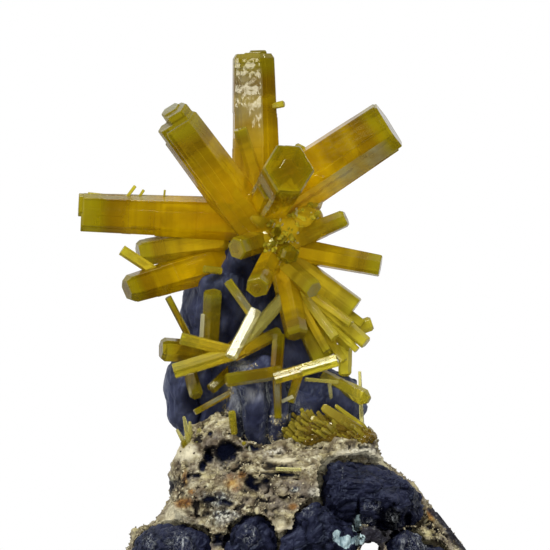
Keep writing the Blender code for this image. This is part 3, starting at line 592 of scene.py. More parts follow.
# ------------------------------------------------------------------ the burst
# Some forty prisms radiate from one hub at the column's top. The six largest make the star; a fan of thinner ones
# hangs to the right, two blunt ones leave to the left, and others fill the back.
HUB = (-2.0, -1.8, 34.6)
BURST = [
    # long prism lying to the left
    crystal((-2.0, -1.8, 35.0), (-19.25, -2.2, 35.75), 4.1, 0.70, 5, 1.1, 0.96, 0.03,
            ((0.05, 0.36, 0.60, -0.42), (0.1, -0.42, 0.54, -0.12), (0.2, 0.1, 0.4, 0.7)), tone=-0.04, etch_and_sheen=(1, 0.7)),
    chip((-16.2, -2.0, 37.3), (-18.7, -2.0, 37.55), 0.5, tone=0.4),
    chip((-15.0, -2.2, 37.0), (-13.95, -2.5, 38.4), 0.36, tone=0.5),
    chip((-13.7, -2.2, 37.1), (-13.1, -2.4, 38.0), 0.3, tone=0.4),
    chip((-11.1, -2.2, 37.0), (-11.0, -2.4, 38.0), 0.22, tone=0.2),
    # stout prism to the upper left, its end stepped
    crystal((-1.9, -1.8, 34.2), (-9.75, -7.4, 44.8), 4.6, 0.80, -14, 1.06, 0.94, 0.05,
            ((0.02, 0.2, 0.66, -1.2), (-0.22, 0.02, 0.5, -1.35), (0.16, -0.44, 0.52, -0.35), (0.02, -0.62, 0.44, 1.4),
             (0.1, 0.42, 0.5, 0.2)), tone=0.08, etch_and_sheen=(END_FACE, 0.9)),
    # upright prism with an etched face
    crystal((-1.8, -1.4, 34.4), (-2.15, -1.2, 51.6), 5.1, 0.78, -24, 1.08, 0.90, 0.09,
            ((-0.2, 0.1, 0.42, -0.35), (0.2, -0.3, 0.4, 0.2), (0.3, 0.02, 0.34, -0.1), (-0.3, -0.5, 0.36, 0.12)),
            tone=-0.24, etch_and_sheen=(0, 0.42)),
    # broad prism to the upper right
    crystal((-1.4, -1.4, 36.0), (11.4, -3.0, 44.5), 5.35, 0.8, -20, 1.12, 1.0, 0.02,
            ((-0.35, 0.34, 0.6, 0.6), (0.15, -0.2, 0.8, 0.2), (0.0, -0.5, 0.55, 5.4)), etch_and_sheen=(1, 0.85), zones=0.65),
    # prism that points forwards
    crystal((-0.5, -1.4, 36.8), (1.4, -10.8, 40.1), 5.3, 1.1, -3, 0.92, 1.0, 0.05,
            ((-0.3, 0.45, 0.5, 3.6), (0.45, -0.1, 0.5, 4.4)), tone=-0.12, etch_and_sheen=(2, 0.95), zones=0.4),
    crystal((-1.2, -3.0, 37.0), (-3.5, -4.6, 44.1), 1.4, 0.9, 10, chamfer=0.08),
    chip((-1.0, -2.0, 46.2), (0.9, -2.9, 46.6), 0.7, tone=0.3),
    # thinner ones at the right
    crystal((0.2, -2.4, 32.3), (7.1, -3.8, 35.2), 1.9, 0.9, 20, 1.3, 1.0, 0.14),
    crystal((0.5, -1.9, 32.3), (10.55, -2.8, 30.4), 2.45, 0.85, 20, 1.1, 0.95, 0.05),
    crystal((-0.6, -1.0, 36.0), (3.1, -0.6, 42.2), 2.2, 0.9, 10),
    crystal((-0.6, -1.8, 34.0), (4.2, -2.2, 37.6), 2.8, 0.9, 10, 1.2, 1.0, 0.2, tone=0.3),
    crystal((0.6, -2.0, 31.6), (8.0, -2.8, 26.2), 2.5, 0.85, -18, 1.0, 0.95, 0.06, tone=0.25),
    crystal((0.6, -2.4, 31.0), (3.9, -5.7, 28.0), 2.1, 0.95, 15, 0.9, 1.0, 0.08, tone=0.1,
            etch_and_sheen=(END_FACE, 0.5), zones=0.5),
    crystal((0.6, -2.0, 31.0), (2.2, -5.5, 23.4), 2.7, 0.95, 12, 1.0, 0.9, tone=-0.05, zones=0.7),
    crystal((0.0, -2.2, 32.0), (-1.8, -8.6, 28.2), 2.5, 0.95, 44, 0.9, 1.0, 0.06),
    crystal((-0.6, -1.8, 33.2), (-3.9, -5.7, 32.1), 2.4, 0.95, chamfer=0.08),
    crystal((0.4, -2.4, 32.2), (1.6, -6.4, 31.4), 2.1, 0.95, 15, 1.0, 0.95, 0.2, tone=-0.2),
    crystal((-0.6, -2.4, 33.6), (0.2, -5.4, 33.8), 1.1, 0.95, chamfer=0.2, tone=-0.3),
    # the fan
    crystal((1.2, -1.6, 29.6), (9.1, -4.4, 22.7), 1.35, 0.9, 10, 1.3, 1.0, 0.06, tone=0.4),
    crystal((1.0, -1.4, 29.8), (8.5, -2.6, 24.2), 2.1, 0.85, 30, 1.1, 1.0, 0.06, tone=0.25),
    crystal((4.6, -1.4, 22.9), (9.7, -1.6, 24.7), 1.5, 0.95, chamfer=0.16, tone=0.2),
    crystal((1.2, -1.8, 28.6), (7.8, -3.4, 22.4), 1.7, 0.9, -12, chamfer=0.08, tone=0.35),
    crystal((1.2, -1.8, 29.0), (4.7, -3.8, 20.8), 2.3, 0.9, 12, 0.9, 0.9, tone=0.12, zones=0.7),
    crystal((1.6, -1.4, 28.4), (5.6, -2.4, 21.4), 2.2, 0.9, 25, 1.0, 0.9, tone=0.3),
    crystal((7.0, -2.2, 22.9), (7.0, -3.4, 19.5), 1.5, 0.85, 10, 1.0, 0.9, 0.14, tone=0.5),
    crystal((1.6, -2.6, 29.0), (6.0, -5.2, 23.2), 1.1, 0.9, 20, chamfer=0.06, tone=0.4),
    crystal((2.0, -2.6, 28.6), (7.6, -4.8, 24.6), 0.9, 0.9, 5, chamfer=0.06, tone=0.3),
    crystal((1.4, -2.8, 28.8), (5.2, -5.4, 21.9), 0.9, 0.9, 40, chamfer=0.06, tone=0.15),
    crystal((2.2, -2.2, 27.8), (8.2, -4.0, 22.0), 0.8, 0.9, 30, chamfer=0.06, tone=0.6),
    crystal((2.6, -2.0, 27.0), (6.9, -4.4, 20.9), 0.9, 0.9, 15, chamfer=0.06, tone=0.35),
    # two blunt prisms that leave the column's left flank under the long one, and a thin one
    crystal((-4.2, 0.0, 33.1), (-13.7, -2.2, 31.7), 3.0, 0.9, 10, 1.15, 0.9, 0.14, tone=0.06),
    crystal((-4.0, 0.4, 31.2), (-14.8, -4.9, 28.0), 3.9, 0.85, 16, 0.98, 0.8, 0.16, tone=-0.15),
    crystal((-10.6, -3.2, 28.9), (-15.3, -3.7, 32.0), 1.1, chamfer=0.04, tone=0.3),
    # behind
    crystal(HUB, (-7.6, 8.4, 42.4), 3.4, 0.9, 15, 0.95, 1.0, 0.06, steps=((0.3, 0.3, 0.6, 1.2),)),
    crystal((-1.4, -1.0, 35.2), (6.4, 8.0, 40.8), 3.1, 0.85, -10, chamfer=0.08),
    crystal((-1.8, -1.0, 34.4), (-0.9, 12.2, 36.8), 3.3, 0.9, 5, 1.0, 0.95, 0.05, steps=((0.2, -0.4, 0.6, 1.4),)),
    crystal((-2.2, -0.6, 34.0), (-10.6, 8.2, 35.2), 2.8, 0.9, 20, chamfer=0.08),
    crystal((-0.8, 0.0, 32.6), (2.6, 8.6, 30.2), 2.3),
    crystal((-1.4, 0.4, 32.4), (-4.4, 7.6, 30.4), 1.9),
]


# the mass that the roots make at the hub: centre and radii of each lobe
HUB_LOBES = [((0.7, -2.0, 33.5), (2.7, 2.3, 2.4)), ((2.7, -2.0, 35.2), (2.0, 1.8, 1.75)),
             ((0.4, -3.0, 31.6), (1.5, 1.5, 1.5)), ((-1.4, -2.6, 35.6), (2.4, 1.6, 1.8))]


def hub_chips(count, seed):
    """Small pale prisms that stand on the hub's front; the largest are few, and the smallest are painted whitish as
    glints.
    """
    chance = np.random.default_rng(seed)
    chips = []
    for _ in range(count):
        centre, radii = (np.array(values) for values in HUB_LOBES[chance.integers(0, 3)])
        way = unit(np.array((chance.normal(0, 0.6), -1.0, chance.normal(0, 0.6))))
        foot = centre + way * radii * 0.94
        lean = unit(way + chance.normal(0, 0.7, 3))
        size = 0.12 * 5.0 ** chance.uniform(0, 1)
        chips.append(crystal(tuple(foot - lean * 0.2), tuple(foot + lean * size * chance.uniform(0.8, 1.8)), size,
                             0.7, chance.uniform(0, 60), 1.1, 0.9, 0.12,
                             tone=chance.uniform(0.1, 1.0) if size > 0.3 else 1.6))
    return chips


HUB_CHIPS = 130
hub = [mass(centre, radii, 30 + k, tone=0.22) for k, (centre, radii) in enumerate(HUB_LOBES)]
burst = grown_together("burst", BURST + hub_chips(HUB_CHIPS, 3), 100, masses=hub)
burst.data.materials.append(glassy)
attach(burst, "root")
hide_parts("crystal_burst")


# ------------------------------------------------------------------ prisms on the column
# Thin prisms stand on the black column by themselves or cross one another: a spray at the left with one brilliant
# blade, two long ones across the knob, and single ones round about. Each is rooted in the mineral behind it.
CROSSED = [
    crystal((-3.4, -5.9, 21.7), (-9.4, -5.5, 23.2), 1.3, 0.85, 20, chamfer=0.06, tone=0.3),
    crystal((-3.2, -5.8, 22.0), (-10.1, -5.6, 19.9), 1.7, 0.85, 38, chamfer=0.05, tone=0.45),
    crystal((0.9, -4.0, 27.3), (-3.6, -5.9, 22.2), 1.4, 0.9, 10, chamfer=0.04, tone=1.2),
    # the brilliant blade: its whitish tone is partly a painted reflection
    crystal((-1.95, -5.2, 26.0), (-4.4, -7.3, 21.3), 1.3, 0.72, 18.4, chamfer=0.04, tone=1.5),
    crystal((-2.2, -5.2, 25.4), (-4.7, -4.6, 28.9), 1.0, 0.85, 20, chamfer=0.04, tone=0.4, etch_and_sheen=(0, 0.8), zones=3.0),
    crystal((-4.1, -6.4, 21.5), (0.5, -4.6, 23.8), 1.3, chamfer=0.08),
    crystal((-1.5, -4.4, 24.2), (-5.4, -3.9, 21.3), 1.4, chamfer=0.08, tone=-0.3),
]
LONG_PRISMS = [
    crystal((0.6, -7.0, 19.8), (-4.9, -8.4, 19.0), 1.4, chamfer=0.14, tone=0.15, etch_and_sheen=(5, 0.8), zones=4.5),
    crystal((-0.1, -7.6, 19.2), (5.6, -7.24, 20.83), 1.36, 0.9, -22, chamfer=0.06, tone=0.4),
    crystal((2.6, -7.43, 19.97), (6.2, -7.2, 21.0), 1.42, 0.9, -32.5, chamfer=0.06, tone=0.9),
    crystal((3.0, -5.9, 19.1), (6.3, -4.8, 18.8), 0.4, 0.9, 10, tone=1.2),
    crystal((0.1, -6.4, 19.2), (0.4, -5.4, 23.6), 1.4, 0.9, 25, tone=-0.1, zones=3.0),
    crystal((0.2, -7.2, 19.4), (0.3, -7.5, 15.2), 0.9, 0.6, 0, 1.0, 0.8, 0.08, etch_and_sheen=(0, 0.95), zones=3.0),
    crystal((2.5, -6.6, 20.0), (1.5, -6.6, 16.8), 0.9, tone=0.1),
]
SINGLES = {
    "prism_behind_left_pair": crystal((-6.6, -1.0, 20.6), (-6.2, -4.6, 27.8), 2.1, 0.9, 30, 0.9, 1.0, 0.12, tone=0.1,
                                      zones=0.5),
    "stub_prism_left": crystal((-4.4, -1.0, 21.6), (-11.4, -3.0, 22.1), 2.5, 0.9, 14, 0.9, 1.0, 0.16),
    "thin_blade_left": crystal((-7.2, 0.4, 20.6), (-10.7, -1.6, 27.3), 0.7, 0.8, 10, 1.0, 1.0, 0.04,
                               etch_and_sheen=(1, 0.95), zones=3.0),
    "short_prism_left": crystal((-9.2, -0.4, 22.0), (-7.8, -4.2, 17.4), 1.4, 0.9, 0, 1.0, 1.0, 0.16, tone=0.2,
                                zones=3.0),
    "short_prism_middle": crystal((-3.6, -3.6, 20.8), (-6.4, -5.2, 18.1), 1.2, 0.9, 20, chamfer=0.06, zones=3.0),
    "thin_blade_middle": crystal((-2.6, -3.6, 18.8), (-8.0, -5.6, 15.8), 0.65, 0.7, 20, 1.0, 1.0, 0.04,
                                 etch_and_sheen=(0, 0.95), zones=3.0),
    "spear_right": crystal((4.8, -2.2, 19.5), (9.4, -4.4, 17.0), 2.0, 0.85, 0, 0.6, 0.9, 0.34, tone=0.5),
    "needle_right": crystal((8.8, -2.4, 11.8), (8.45, -3.0, 19.9), 0.45, 0.9, 0, 1.2, 0.7, tone=1.35),
}
column_prisms = [("crossed_prisms_left", CROSSED, 900), ("long_prisms_front", LONG_PRISMS, 1100)]
column_prisms += [(name, [form], 1300 + 40 * k) for k, (name, form) in enumerate(SINGLES.items())]
for name, crystals, seed in column_prisms:
    piece = grown_together(name + "_grown", crystals, seed)
    piece.data.materials.append(thin_glassy)
    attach(piece, "root")
    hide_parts(name)


# ------------------------------------------------------------------ tuft and crust
# Younger pyromorphite: a small fan of whitish needles at the matrix's left shoulder, and a golden mass with a tangle
# of thin yellow prisms over its right shoulder. Both are rooted in the matrix.
TUFT = [
    crystal((-8.3, -4.6, 11.8), (-9.1, -5.6, 15.4), 0.6, 0.8, 10, 1.6, 0.5, 0.12, tone=1.3, etch_and_sheen=(0, 0.5)),
    crystal((-8.3, -4.6, 11.8), (-8.5, -5.8, 14.9), 0.5, 0.8, 40, 1.6, 0.6, 0.12, tone=1.3, etch_and_sheen=(0, 0.5)),
    crystal((-8.5, -4.6, 11.8), (-9.8, -5.4, 14.1), 0.5, 0.8, 20, 1.4, 0.6, 0.12, tone=1.4, etch_and_sheen=(0, 0.5)),
    crystal((-8.0, -4.8, 11.8), (-7.5, -5.8, 14.2), 0.55, 0.8, 0, 1.5, 0.6, 0.12, tone=1.3, etch_and_sheen=(0, 0.5)),
    crystal((-8.3, -4.6, 11.4), (-8.8, -5.9, 13.8), 0.9, 0.8, 0, 1.5, 0.5, 0.12, tone=1.2),
    crystal((-8.3, -4.6, 11.2), (-7.8, -5.8, 12.9), 1.2, 0.8, 25, 1.3, 0.7, 0.12, tone=1.2),
    crystal((-8.4, -4.6, 11.4), (-9.2, -5.7, 12.9), 1.0, 0.8, 50, 1.3, 0.7, 0.12),
]
# the crust's base, a golden mass: centre and radii of each lobe
CRUST_LOBES = [((4.5, -4.8, 13.9), (2.9, 1.8, 1.5)), ((7.6, -4.4, 13.3), (2.3, 1.7, 1.2)),
               ((2.9, -5.0, 13.1), (1.6, 1.4, 1.1))]
CRUST_LARGE = [
    crystal((8.4, -5.2, 13.9), (4.7, -6.3, 16.4), 1.2, 0.5, 10, 1.1, 0.7, 0.2),
    crystal((8.8, -4.8, 14.4), (6.0, -5.6, 16.5), 0.6, 0.6, 30, 1.0, 0.7, 0.2, tone=0.4),
    crystal((7.0, -5.4, 13.4), (3.6, -6.6, 15.3), 0.9, 0.6, 30, 1.0, 0.8, 0.2),
    crystal((5.6, -4.8, 13.4), (3.2, -5.8, 15.8), 1.0, 0.6, 12, 1.0, 0.8, 0.2, tone=-0.1),
    crystal((4.2, -5.0, 13.2), (2.2, -6.0, 15.4), 0.8, 0.6, 40, 1.0, 0.8, 0.2, tone=-0.2),
    crystal((9.6, -4.4, 13.2), (7.4, -5.6, 14.9), 0.8, 0.6, 22, 1.0, 0.8, 0.2),
    crystal((5.6, -5.4, 12.8), (2.0, -6.5, 13.8), 0.8, 0.6, 5, 1.0, 0.8, 0.2, tone=-0.1),
    crystal((3.6, -5.2, 14.2), (2.6, -6.2, 16.2), 0.5, 0.7, 5, 1.0, 0.8, 0.2, tone=0.3),
]


def crust_prisms(count, seed):
    """The crust's larger blades and small thin ones that stand out of its base; most lean up and to the left."""
    chance = np.random.default_rng(seed)
    crystals = list(CRUST_LARGE)
    for _ in range(count):
        foot, way = on_crust(chance)
        lean = unit(np.array((-0.8, -0.3, 0.55)) + way * 0.25 + chance.normal(0, 0.2, 3))
        size = 0.16 * 4.0 ** chance.uniform(0, 1)
        tip = foot + lean * (0.4 + size * chance.uniform(1.0, 2.4))
        crystals.append(crystal(tuple(foot), tuple(tip), size, 0.5, chance.uniform(0, 60), 1.1, 0.7, 0.16,
                                tone=chance.uniform(0.0, 0.3) - chance.uniform(0.0, 0.3)))
    return crystals


def on_crust(chance):
    """A random point just under the surface of the crust's base, and the direction outwards there."""
    centre, radii = (np.array(values) for values in CRUST_LOBES[chance.integers(0, len(CRUST_LOBES))])
    turn, rise = chance.uniform(-np.pi, np.pi), chance.uniform(-0.4, 0.95)
    level = math.sqrt(1 - rise * rise)
    way = np.array((math.sin(turn) * level, -abs(math.cos(turn)) * level, rise))
    return centre + way * radii * 0.86, way


CRUST_BLADES = 170
# small prisms carry fewer ledges than the large ones
SMALL_DETAIL = 0.4
crust_base = [mass(centre, radii, 60 + k, waves=9.0) for k, (centre, radii) in enumerate(CRUST_LOBES)]
for name, crystals, masses, seed, finish in (
        ("crystal_tuft_left", TUFT, (), 1900, thin_glassy),
        ("crystal_crust_right", crust_prisms(CRUST_BLADES, 5), crust_base, 2000, golden)):
    piece = grown_together(name + "_grown", crystals, seed, SMALL_DETAIL, masses)
    piece.data.materials.append(finish)
    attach(piece, "root")
    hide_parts(name)


# small prisms that lie or stand by themselves on the rock: a whitish needle in the bed of the matrix, a stub at the
# column's foot, one beside the left pair, and chips
SMALL_PRISMS = [
    crystal((0.1, -9.7, 10.2), (2.6, -10.5, 10.15), 0.42, 0.8, 20, tone=1.5),
    crystal((-4.1, -6.0, 13.7), (-4.3, -7.3, 15.9), 0.75, 0.8, tone=0.5),
    crystal((-3.0, -5.9, 12.2), (-3.1, -6.7, 12.8), 0.45, 0.8, tone=0.5),
    crystal((-2.6, -5.9, 12.4), (-2.5, -6.8, 11.9), 0.3, 0.8, tone=1.9),
    crystal((5.7, -3.3, 16.4), (5.4, -4.4, 19.0), 0.38, 0.6, tone=1.5),
    crystal((0.7, -6.6, 16.9), (1.8, -7.2, 17.4), 0.4, 0.6, tone=1.8),
    crystal((-5.4, -3.0, 29.9), (-7.1, -4.1, 30.1), 0.75, 0.8, tone=0.45),
    crystal((-7.4, -3.2, 22.6), (-7.2, -4.4, 25.6), 0.4, 0.6, tone=1.8),
]
small_prisms = grown_together("small_prisms", SMALL_PRISMS, 2400, SMALL_DETAIL)
small_prisms.data.materials.append(thin_glassy)
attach(small_prisms, "root")


# ------------------------------------------------------------------ the matrix
# Weathered earthy crust, pale cream, crumbly, with rusty stains; its crevices, sinks and pits are painted black as
# shade and its hollows painted darker. The black lumps sit in it. It is sawn off flat underneath.


def cell_random(cells, seed):
    """A repeatable random number from 0 to 1 for each cell of whole-number coordinates."""
    x, y, z = (cells[..., k].astype(np.int64).astype(np.uint64) for k in range(3))
    bits = x * np.uint64(0x9E3779B97F4A7C15) ^ y * np.uint64(0xC2B2AE3D27D4EB4F)
    bits ^= z * np.uint64(0x165667B19E3779F9) ^ np.uint64(seed * 7919 + 13)
    for shift in (29, 32, 27):
        bits = (bits ^ (bits >> np.uint64(shift))) * np.uint64(0xBF58476D1CE4E5B9)
    return (bits >> np.uint64(40)).astype(float) / 2.0 ** 24


def soft_noise(points, size, seed, octaves=3):
    """Random numbers at the corners of cells size across, eased between them by 3t^2 - 2t^3; each octave is half the
    size and half the height of the one before. From 0 to 1."""
    total, weight, height = 0.0, 0.0, 1.0
    for octave in range(octaves):
        spot = points / size * 2.0 ** octave + 19.7
        cell = np.floor(spot)
        part = spot - cell
        ease = part * part * (3 - 2 * part)
        value = 0.0
        for corner in np.ndindex(2, 2, 2):
            share = np.prod(np.where(np.array(corner) == 1, ease, 1 - ease), axis=1)
            value = value + cell_random(cell + corner, seed + octave) * share
        total, weight, height = total + value * height, weight + height, height * 0.5
    return total / weight


def grains(points, size, seed):
    """One random point stands in each cell size across: the distances to the nearest and to the next nearest of
    them, in cells, and a random number that belongs to the nearest."""
    spot = points / size
    cell = np.floor(spot)
    first, second = np.full(len(points), 9.0), np.full(len(points), 9.0)
    owner = np.zeros(len(points))
    for offset in np.ndindex(3, 3, 3):
        near = cell + np.array(offset) - 1
        place = near + np.stack([cell_random(near, seed + k) for k in range(3)], axis=1)
        distance = np.linalg.norm(spot - place, axis=1)
        closer = distance < first
        second = np.where(closer, first, np.minimum(second, distance))
        owner = np.where(closer, cell_random(near, seed + 5), owner)
        first = np.minimum(first, distance)
    return first, second, owner


def triples(items, field, kind=np.float32):
    """This field of each item, as rows of three."""
    values = np.empty(len(items) * 3, kind)
    items.foreach_get(field, values)
    return values.reshape(-1, 3)


def fine_copy(name, node_name, voxel, smoothing):
    """A copy of the CAD node's shape as one closed mesh of even squares voxel across, its facets smoothed away."""
    source = bpy.data.objects[node_name]
    world = np.array(source.matrix_world)
    points = triples(source.data.vertices, "co") @ world[:3, :3].T + world[:3, 3]
    source.data.calc_loop_triangles()
    faces = triples(source.data.loop_triangles, "vertices", np.int32)
    _, first, index = np.unique(np.round(points / 1e-6), axis=0, return_index=True, return_inverse=True)
    faces = index.reshape(-1)[faces]
    whole = (faces[:, 0] != faces[:, 1]) & (faces[:, 1] != faces[:, 2]) & (faces[:, 0] != faces[:, 2])
    obj = new_object(name, points[first] / MM, faces[whole].tolist())
    remesh = obj.modifiers.new("remesh", "REMESH")
    remesh.mode = "VOXEL"
    remesh.voxel_size = voxel * MM
    smooth = obj.modifiers.new("smooth", "SMOOTH")
    smooth.factor = 0.5
    smooth.iterations = smoothing
    return applied(obj)


def surface_of(obj):
    """The mesh's points and outward normals, in millimetres."""
    points, normals = (triples(obj.data.vertices, field).astype(float) for field in ("co", "normal"))
    return points / MM, normals


def reshape(obj, points, **masks):
    """Moves the mesh's points there, not below the base, and stores each mask as an attribute."""
    points[:, 2] = np.maximum(points[:, 2], 0.0)
    obj.data.vertices.foreach_set("co", (points * MM).ravel().astype(np.float32))
    for name, values in masks.items():
        layer = obj.data.attributes.new(name, "FLOAT", "POINT")
        layer.data.foreach_set("value", np.asarray(values, np.float32))
    obj.data.update()


def creased(points, size, seed):
    """Folded noise: 0 along sharp valleys, about 1 on the rounded crests between them."""
    return np.clip(np.abs(soft_noise(points, size, seed, 3) - 0.5) * 3.6, 0.0, 1.0)


def spots(points, places, seed, blur=0.5, depth=0.0):
    """1 inside each place (x, z, radius across, radius up) as seen from the front, 0 outside, with a ragged rim; it
    reaches back to y = depth."""
    ragged = (soft_noise(points, 1.1, seed, 3) - 0.5) * 1.6
    inside = np.zeros(len(points))
    for x, z, wide, high in places:
        away = np.hypot((points[:, 0] - x) / wide, (points[:, 2] - z) / high)
        inside = np.maximum(inside, np.clip((1.0 - away + ragged * 0.6) / blur, 0.0, 1.0))
    return inside * (points[:, 1] < depth)


GOLDEN_RATIO = (1 + math.sqrt(5)) / 2
ICOSAHEDRON = np.array([(0, a, b * GOLDEN_RATIO) for a in (-1, 1) for b in (-1, 1)]
                       + [(a, b * GOLDEN_RATIO, 0) for a in (-1, 1) for b in (-1, 1)]
                       + [(b * GOLDEN_RATIO, 0, a) for a in (-1, 1) for b in (-1, 1)]) / math.hypot(1, GOLDEN_RATIO)
EDGE = 2 / math.hypot(1, GOLDEN_RATIO)


def icosahedron_faces():
    """The twenty triples of corners that all stand one edge apart, each turned outwards."""
    faces = []
    for a in range(12):
        for b in range(a + 1, 12):
            for c in range(b + 1, 12):
                corners = ICOSAHEDRON[[a, b, c]]
                sides = np.linalg.norm(corners - np.roll(corners, 1, axis=0), axis=1)
                if np.allclose(sides, EDGE):
                    outwards = np.linalg.det(corners) > 0
                    faces.append((a, b, c) if outwards else (a, c, b))
    return np.array(faces)


def crumbs(name, points, normals, weights, count, sizes, seed, shape):
    """One mesh of rough grains. Each is a twenty-sided lump with its corners pushed about, scaled to shape, turned at
    random and set on a surface point picked with these weights. The grains' sizes are spread evenly in the logarithm
    from the smallest to the largest."""
    chance = np.random.default_rng(seed)
    smallest, largest = sizes
    spot = chance.choice(len(points), count, p=weights / weights.sum())
    size = smallest * (largest / smallest) ** chance.uniform(0, 1, count)
    shapes = ICOSAHEDRON[None] * chance.uniform(0.72, 1.2, (count, 12, 1)) * np.array(shape)
    axis = chance.normal(0, 1, (count, 3))
    axis /= np.linalg.norm(axis, axis=1)[:, None]
    across = np.cross(axis, chance.normal(0, 1, (count, 3)))
    across /= np.linalg.norm(across, axis=1)[:, None]
    frames = np.stack([across, np.cross(axis, across), axis], axis=1)
    placed = np.einsum("nki,nij->nkj", shapes, frames) * size[:, None, None]
    placed += (points[spot] + normals[spot] * 0.1 * size[:, None])[:, None, :]
    placed[..., 2] = np.maximum(placed[..., 2], 0.0)
    faces = icosahedron_faces()[None] + 12 * np.arange(count)[:, None, None]
    obj = new_object(name, placed.reshape(-1, 3), faces.reshape(-1, 3).tolist())
    layer = obj.data.attributes.new("tone", "FLOAT", "POINT")
    layer.data.foreach_set("value", np.repeat(chance.uniform(0, 1, count), 12).astype(np.float32))
    return obj


def hollowed(points, normals, pits, seed):
    """Pushes what faces the front inwards inside each pit (x, z, radius across, radius up, depth) as seen from the
    front; the depth grows as 3t^2 - 2t^3 from the ragged rim. Returns how deep each point lies, from 0 to 1."""
    ragged = (soft_noise(points, 0.9, seed, 4) - 0.5) * 1.7
    deepest = np.zeros(len(points))
    facing = np.clip(-2.5 * normals[:, 1], 0.0, 1.0)
    for x, z, wide, high, depth in pits:
        away = np.hypot((points[:, 0] - x) / wide, (points[:, 2] - z) / high)
        inside = np.clip((1.15 - away + ragged) / 0.55, 0.0, 1.0) * facing
        inside = inside * inside * (3 - 2 * inside)
        points[:, 1] += depth * inside
        deepest = np.maximum(deepest, inside) if depth > 0.0 else deepest * (1 - inside)
    return deepest


def near_line(points, corners, width):
    """1 along the line through these corners (x, z) as seen from the front, falling evenly to 0 at width from it."""
    nearest = np.full(len(points), np.inf)
    flat = points[:, [0, 2]]
    for start, stop in zip(corners, corners[1:]):
        start, run = np.array(start), np.array(stop) - np.array(start)
        share = np.clip((flat - start) @ run / (run @ run), 0.0, 1.0)
        nearest = np.minimum(nearest, np.linalg.norm(flat - start - share[:, None] * run, axis=1))
    return np.clip(1.0 - nearest / width, 0.0, 1.0) * (points[:, 1] < 0.0)


RUST_PLACES = [(-4.2, 8.9, 1.1, 1.0), (-9.1, 9.3, 0.5, 1.1), (-9.2, 6.8, 1.1, 0.7), (1.8, 6.5, 0.7, 0.5),
               (15.6, 5.6, 0.7, 0.9), (-8.3, 8.0, 0.5, 0.4), (-3.4, 9.6, 0.5, 0.5)]
SPARKLE_PLACES = [(-6.0, 7.1, 2.1, 0.95), (-5.0, 5.4, 2.1, 1.3), (2.0, 8.2, 0.6, 0.4)]
FUZZ_PLACES = [(8.6, 12.0, 2.4, 0.9), (9.6, 11.4, 0.9, 0.8), (-4.4, 5.2, 1.8, 0.8), (4.2, 7.8, 0.9, 0.8),
               (0.2, 12.0, 1.2, 0.5)]
SMOOTH_PLACES = [(-9.2, 11.9, 1.7, 1.2), (-10.1, 5.5, 1.4, 1.6), (10.6, 10.2, 1.2, 1.4), (0.5, 11.2, 2.4, 0.4),
                 (0.5, 4.8, 1.0, 0.9), (-10.4, 4.0, 1.6, 0.6)]
GREEN_PLACES = [(15.6, 4.8, 1.2, 2.0), (-8.4, 12.9, 0.8, 0.4), (3.0, 12.6, 3.0, 0.5), (-9.0, 10.2, 0.6, 0.6),
                (0.6, 9.9, 1.6, 0.25), (14.4, 6.0, 0.7, 0.8), (11.0, 10.0, 0.7, 1.4)]
DARK_PLACES = [(10.2, 3.8, 3.8, 2.6), (-5.2, 3.0, 1.8, 0.9), (-10.4, 8.5, 0.4, 1.1), (5.2, 4.6, 1.2, 1.6)]
# brown patches: partly brown stains, partly painted shade in the bowl and other dim places
BROWN_AND_SHADE_PLACES = [(-4.6, 9.6, 1.6, 0.6), (0.5, 4.9, 1.0, 1.0), (-0.8, 8.4, 2.6, 0.8), (0.4, 6.8, 2.2, 0.9),
                (3.6, 8.0, 1.4, 1.0), (3.6, 6.2, 0.7, 0.8), (-6.8, 12.6, 0.8, 0.8), (-3.0, 7.2, 1.0, 0.6)]
BLUE_PLACES = [(7.0, 3.2, 1.3, 0.9), (8.3, 3.2, 0.8, 0.8), (8.2, 4.6, 0.4, 0.9), (6.3, 3.9, 0.6, 0.4)]
BED_PLACES = [(0.6, 10.2, 3.4, 1.2)]
PITS = [(-5.1, 12.0, 1.45, 1.15, 2.2), (-6.6, 11.2, 0.55, 0.6, 1.4), (-7.2, 10.5, 0.4, 0.6, 1.2),
        (-8.6, 9.4, 0.3, 0.4, 1.0), (-7.9, 9.5, 0.7, 0.3, 0.8), (-1.8, 8.8, 1.25, 0.7, 1.3),
        (-1.6, 8.9, 0.5, 0.3, -0.9), (-6.6, 7.2, 0.9, 0.35, 0.6), (-4.9, 6.8, 0.6, 0.3, 0.5),
        (-2.0, 12.3, 0.8, 0.4, 1.0), (1.3, 9.6, 1.0, 0.15, 0.6), (15.4, 4.6, 0.4, 0.4, 0.7),
        (-6.5, 13.7, 0.2, 0.2, 0.5), (-5.4, 3.3, 1.3, 0.5, 1.2), (2.6, 7.4, 0.6, 0.15, 0.5)]
BOWL = [(0.5, 4.9, 0.95, 0.95, 0.8)]
# the web of crust between the boulder and the nodule below it lies further back
WEB = [(11.8, 4.0, 1.1, 0.9, 2.4)]
# pale lips of crust beside the boulder and the bowl, raised a little and painted paler, partly as painted light that
# lifts the shade in the gaps beside them
PALE_RIMS = [((4.5, 6.6), (4.3, 8.6), (4.9, 10.6), (6.4, 11.7), (8.8, 11.9), (11.2, 11.0), (13.0, 9.6)),
             ((5.5, 7.3), (3.7, 6.3), (3.2, 5.5), (1.5, 4.2)), ((-0.6, 4.6), (-0.3, 3.8), (0.5, 3.3), (1.4, 3.9))]
# the sawn slope at the right: an outward direction and its distance from the origin
SLOPE = (unit(np.array((0.787, 0.0, 0.618))), 16.3)

